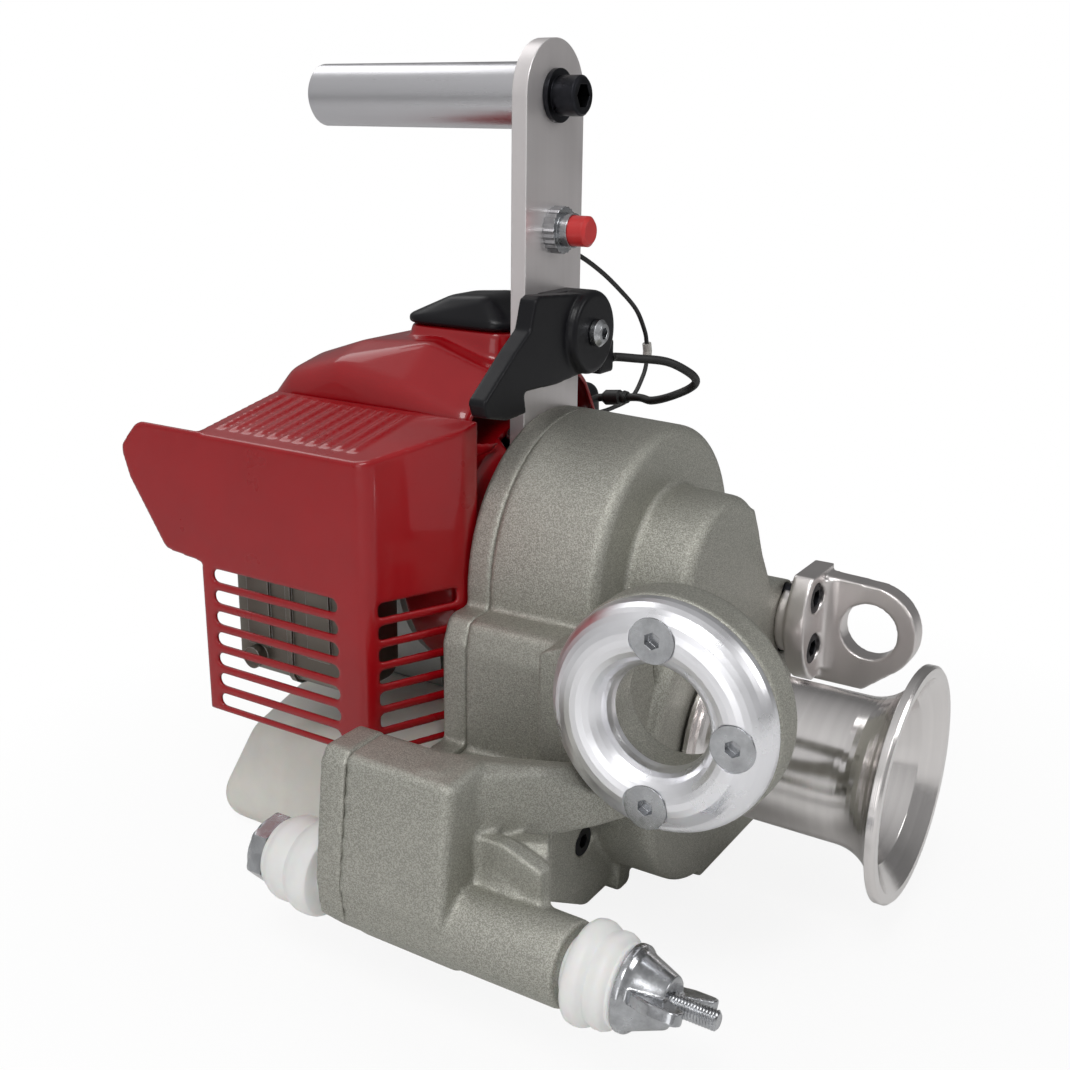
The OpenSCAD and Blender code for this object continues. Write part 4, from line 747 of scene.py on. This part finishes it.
# %% Bushes
BUSH_PROFILE = [
    (0.0, 12.5), (3.2, 12.5), (3.5, 17.0), (4.2, 19.2), (5.6, 20.4), (7.5, 20.8), (10.0, 20.6), (11.8, 19.8),
    (12.8, 18.4), (13.4, 17.9), (14.6, 18.3), (16.4, 19.0), (18.6, 19.0), (20.4, 18.2), (21.4, 16.9),
    (22.0, 16.3), (23.0, 16.2), (23.8, 15.4), (24.0, 14.0),
]  # distance from the casting and radius, in millimetres
FRONT_BUSH_START, FRONT_BUSH_LENGTH = -0.0661, 0.0238
REAR_BUSH_START, REAR_BUSH_LENGTH = 0.0491, 0.0348


def bush_stations(start, way, length):
    """The bush's soft profile, from the casting outwards. Way is 1 towards +Y, -1 towards -Y."""
    last = BUSH_PROFILE[-1][0]
    stations = [(start + way * out / last * length, radius / 1000) for out, radius in BUSH_PROFILE]
    return sorted(stations)


front_stations = bush_stations(FRONT_BUSH_START, -1, FRONT_BUSH_LENGTH)
rear_stations = bush_stations(REAR_BUSH_START, 1, REAR_BUSH_LENGTH)
turned_form("front_bush_form", BOLT_AXIS, front_stations, NYLON, "front_bush")
turned_form("rear_bush_form", BOLT_AXIS, rear_stations, NYLON, "rear_bush")

# %% [markdown]
# The clamp bolt's free end shows its thread, and its head has the usual chamfered corners.
# A saw wave that climbs once round per pitch makes a true helix, and six flats cut by a cone
# make the head. A plain cylinder would show neither.

# %% Clamp bolt
THREAD_PITCH = 0.00125
SHANK_RADIUS = 0.00395
THREAD_DEPTH = 0.0006
TIP_Y, TIP_RADIUS = -0.1269, 0.0029
THREAD_LOW, THREAD_HIGH, SHANK_LOW = -0.1262, -0.090, -0.0899
HEAD_LOW, HEAD_CHAMFER, HEAD_HIGH = 0.084, 0.0845, 0.093
HEAD_CORNER_RADIUS = 0.016
HEAD_FACE_RADIUS = 0.0138
CONE_SLOPE = 1.9
HEAD_TURN = math.radians(12)
ONE_FLAT = math.radians(60)
THREAD_RINGS = 170
HEAD_RINGS = 10
TINY_STEP = 0.00001


def thread_radius(y, angle):
    """An M8 thread, rolled: round crest, deep valley."""
    phase = (y / THREAD_PITCH + angle / math.tau) % 1.0
    return SHANK_RADIUS - THREAD_DEPTH * abs(2 * phase - 1) ** 1.5


def head_radius(y, angle):
    """A hexagon 32 mm over its corners, cut by a cone at its outer face."""
    turn = (angle - HEAD_TURN) % ONE_FLAT - ONE_FLAT / 2
    flat = HEAD_CORNER_RADIUS * math.cos(ONE_FLAT / 2) / math.cos(turn)
    return min(flat, HEAD_FACE_RADIUS + (HEAD_HIGH - y) * CONE_SLOPE)


bolt_stations = [(TIP_Y, TIP_RADIUS)]
bolt_stations += [(y, thread_radius) for y in spread(THREAD_LOW, THREAD_HIGH, THREAD_RINGS)]
bolt_stations += [(SHANK_LOW, SHANK_RADIUS), (HEAD_LOW, SHANK_RADIUS)]
bolt_stations += [(HEAD_LOW + TINY_STEP, head_radius)]
bolt_stations += [(y, head_radius) for y in spread(HEAD_CHAMFER, HEAD_HIGH, HEAD_RINGS)]
turned_form("clamp_bolt_form", BOLT_AXIS, bolt_stations, ZINC, "clamp_bolt")

# %% [markdown]
# The studio is a pale floor under a white sky. A large lit backdrop could be modelled,
# but the world's own shader does it without a mesh: white to the eye, and graded from pale
# on the photograph's bright side to grey on the other in reflections, so that bright metal keeps its form.
# The floor keeps the object's shadow near it and fades to plain white further out.

# %% Floor and sky
FLOOR_RADIUS = 6
FLOOR_SIDES = 96
FLOOR_DROP = 0.0004
SHADOW_NEAR, SHADOW_FAR = 0.10, 0.40
NEAR_WHITE = 0.88
BRIGHT_SIDE = (-0.88, 0.05, 0.46)
SKY_DARK, SKY_PALE = 0.12, 0.45
MIRROR_BOOST = 1.55


def add_floor():
    """A pale disc under the winch that keeps its shadow."""
    mesh = bpy.data.meshes.new("floor")
    shape = bmesh.new()
    bmesh.ops.create_circle(shape, cap_ends=True, segments=FLOOR_SIDES, radius=FLOOR_RADIUS)
    shape.to_mesh(mesh)
    shape.free()
    floor = bpy.data.objects.new("floor", mesh)
    floor.location.z = -FLOOR_DROP
    bpy.context.collection.objects.link(floor)
    material, tree, shader = new_finish("pale_floor", Base_Color=(0.90, 0.90, 0.895, 1), Roughness=0.7,
                                        Specular_IOR_Level=0.1)
    place = put(tree, "ShaderNodeTexCoord").outputs["Object"]
    far = put(tree, "ShaderNodeVectorMath", {0: place}, operation="LENGTH").outputs["Value"]
    path = put(tree, "ShaderNodeLightPath").outputs["Is Camera Ray"]
    whiteness = stretch(tree, far, SHADOW_NEAR, SHADOW_FAR, NEAR_WHITE, 1.0)
    fade = maths(tree, "MULTIPLY", whiteness, path)
    glow = put(tree, "ShaderNodeEmission", {"Color": WHITE, "Strength": 1.0}).outputs[0]
    mixed = put(tree, "ShaderNodeMixShader", {0: fade, 1: shader.outputs[0], 2: glow}).outputs[0]
    tree.links.new(mixed, tree.nodes["Material Output"].inputs["Surface"])
    floor.data.materials.append(material)
    print(floor.name, "radius", FLOOR_RADIUS, "m")


def light_sky():
    """A sky that is white to the camera and graded in light and reflections."""
    world = bpy.data.worlds.new("studio")
    bpy.context.scene.world = world
    world.use_nodes = True
    tree = world.node_tree
    out = tree.nodes["World Output"]
    direction = put(tree, "ShaderNodeTexCoord").outputs["Generated"]
    parts = put(tree, "ShaderNodeSeparateXYZ", {0: direction}).outputs
    swing = put(tree, "ShaderNodeVectorMath", {0: direction, 1: BRIGHT_SIDE}, operation="DOT_PRODUCT")
    facing = stretch(tree, swing.outputs["Value"], -0.5, 0.95, SKY_DARK, SKY_PALE)
    lift = stretch(tree, parts[2], -0.1, 0.8, 0.75, 1.0)
    studio = maths(tree, "MULTIPLY", facing, lift)
    path = put(tree, "ShaderNodeLightPath").outputs
    seen = maths(tree, "MAXIMUM", path["Is Camera Ray"], path["Is Transmission Ray"])
    boost = stretch(tree, path["Is Glossy Ray"], 0.0, 1.0, 1.0, MIRROR_BOOST)
    mirrored = maths(tree, "MULTIPLY", studio, boost)
    level = put(tree, "ShaderNodeMix", {0: seen, 2: mirrored, 3: 1.0}, data_type="FLOAT").outputs[0]
    sky = put(tree, "ShaderNodeBackground", {"Color": WHITE, "Strength": level}).outputs[0]
    tree.links.new(sky, out.inputs["Surface"])
    print("world", world.name)


add_floor()
light_sky()

# %% [markdown]
# Four large soft lamps stand round the winch: the key high at its left, a weak fill low on the same side,
# one at its right front for the edges of the castings, and one behind for the rims.
# Large squares give soft shadows; a small lamp would cut hard ones.

# %% Lamps
LAMPS = {
    "key": ((-0.85, -0.25, 1.40), 0.55, 8.4),
    "fill": ((-1.3, -0.15, 0.35), 0.6, 1.7),
    "side": ((0.35, -1.25, 0.85), 0.5, 3.8),
    "back": ((0.3, 1.0, 1.3), 0.7, 3.0),
}  # place and side in metres, power in watts
TARGET = Vector((0, 0.02, 0.16))


def add_lamp(name, place, side, watts):
    """A square soft lamp that looks at the target."""
    data = bpy.data.lights.new(name, "AREA")
    data.shape = "SQUARE"
    data.size = side
    data.energy = watts
    lamp = bpy.data.objects.new(name, data)
    eye = Vector(place)
    lamp.matrix_world = aim(eye, (TARGET - eye).normalized(), Vector((0, 0, 1)))
    bpy.context.collection.objects.link(lamp)


for name, (place, side, watts) in LAMPS.items():
    add_lamp(name, place, side, watts)
bpy.context.scene.view_settings.view_transform = "Standard"
print("lamps", sorted(LAMPS))

# %% [markdown]
# Last the view layer is updated.


bpy.context.view_layer.update()
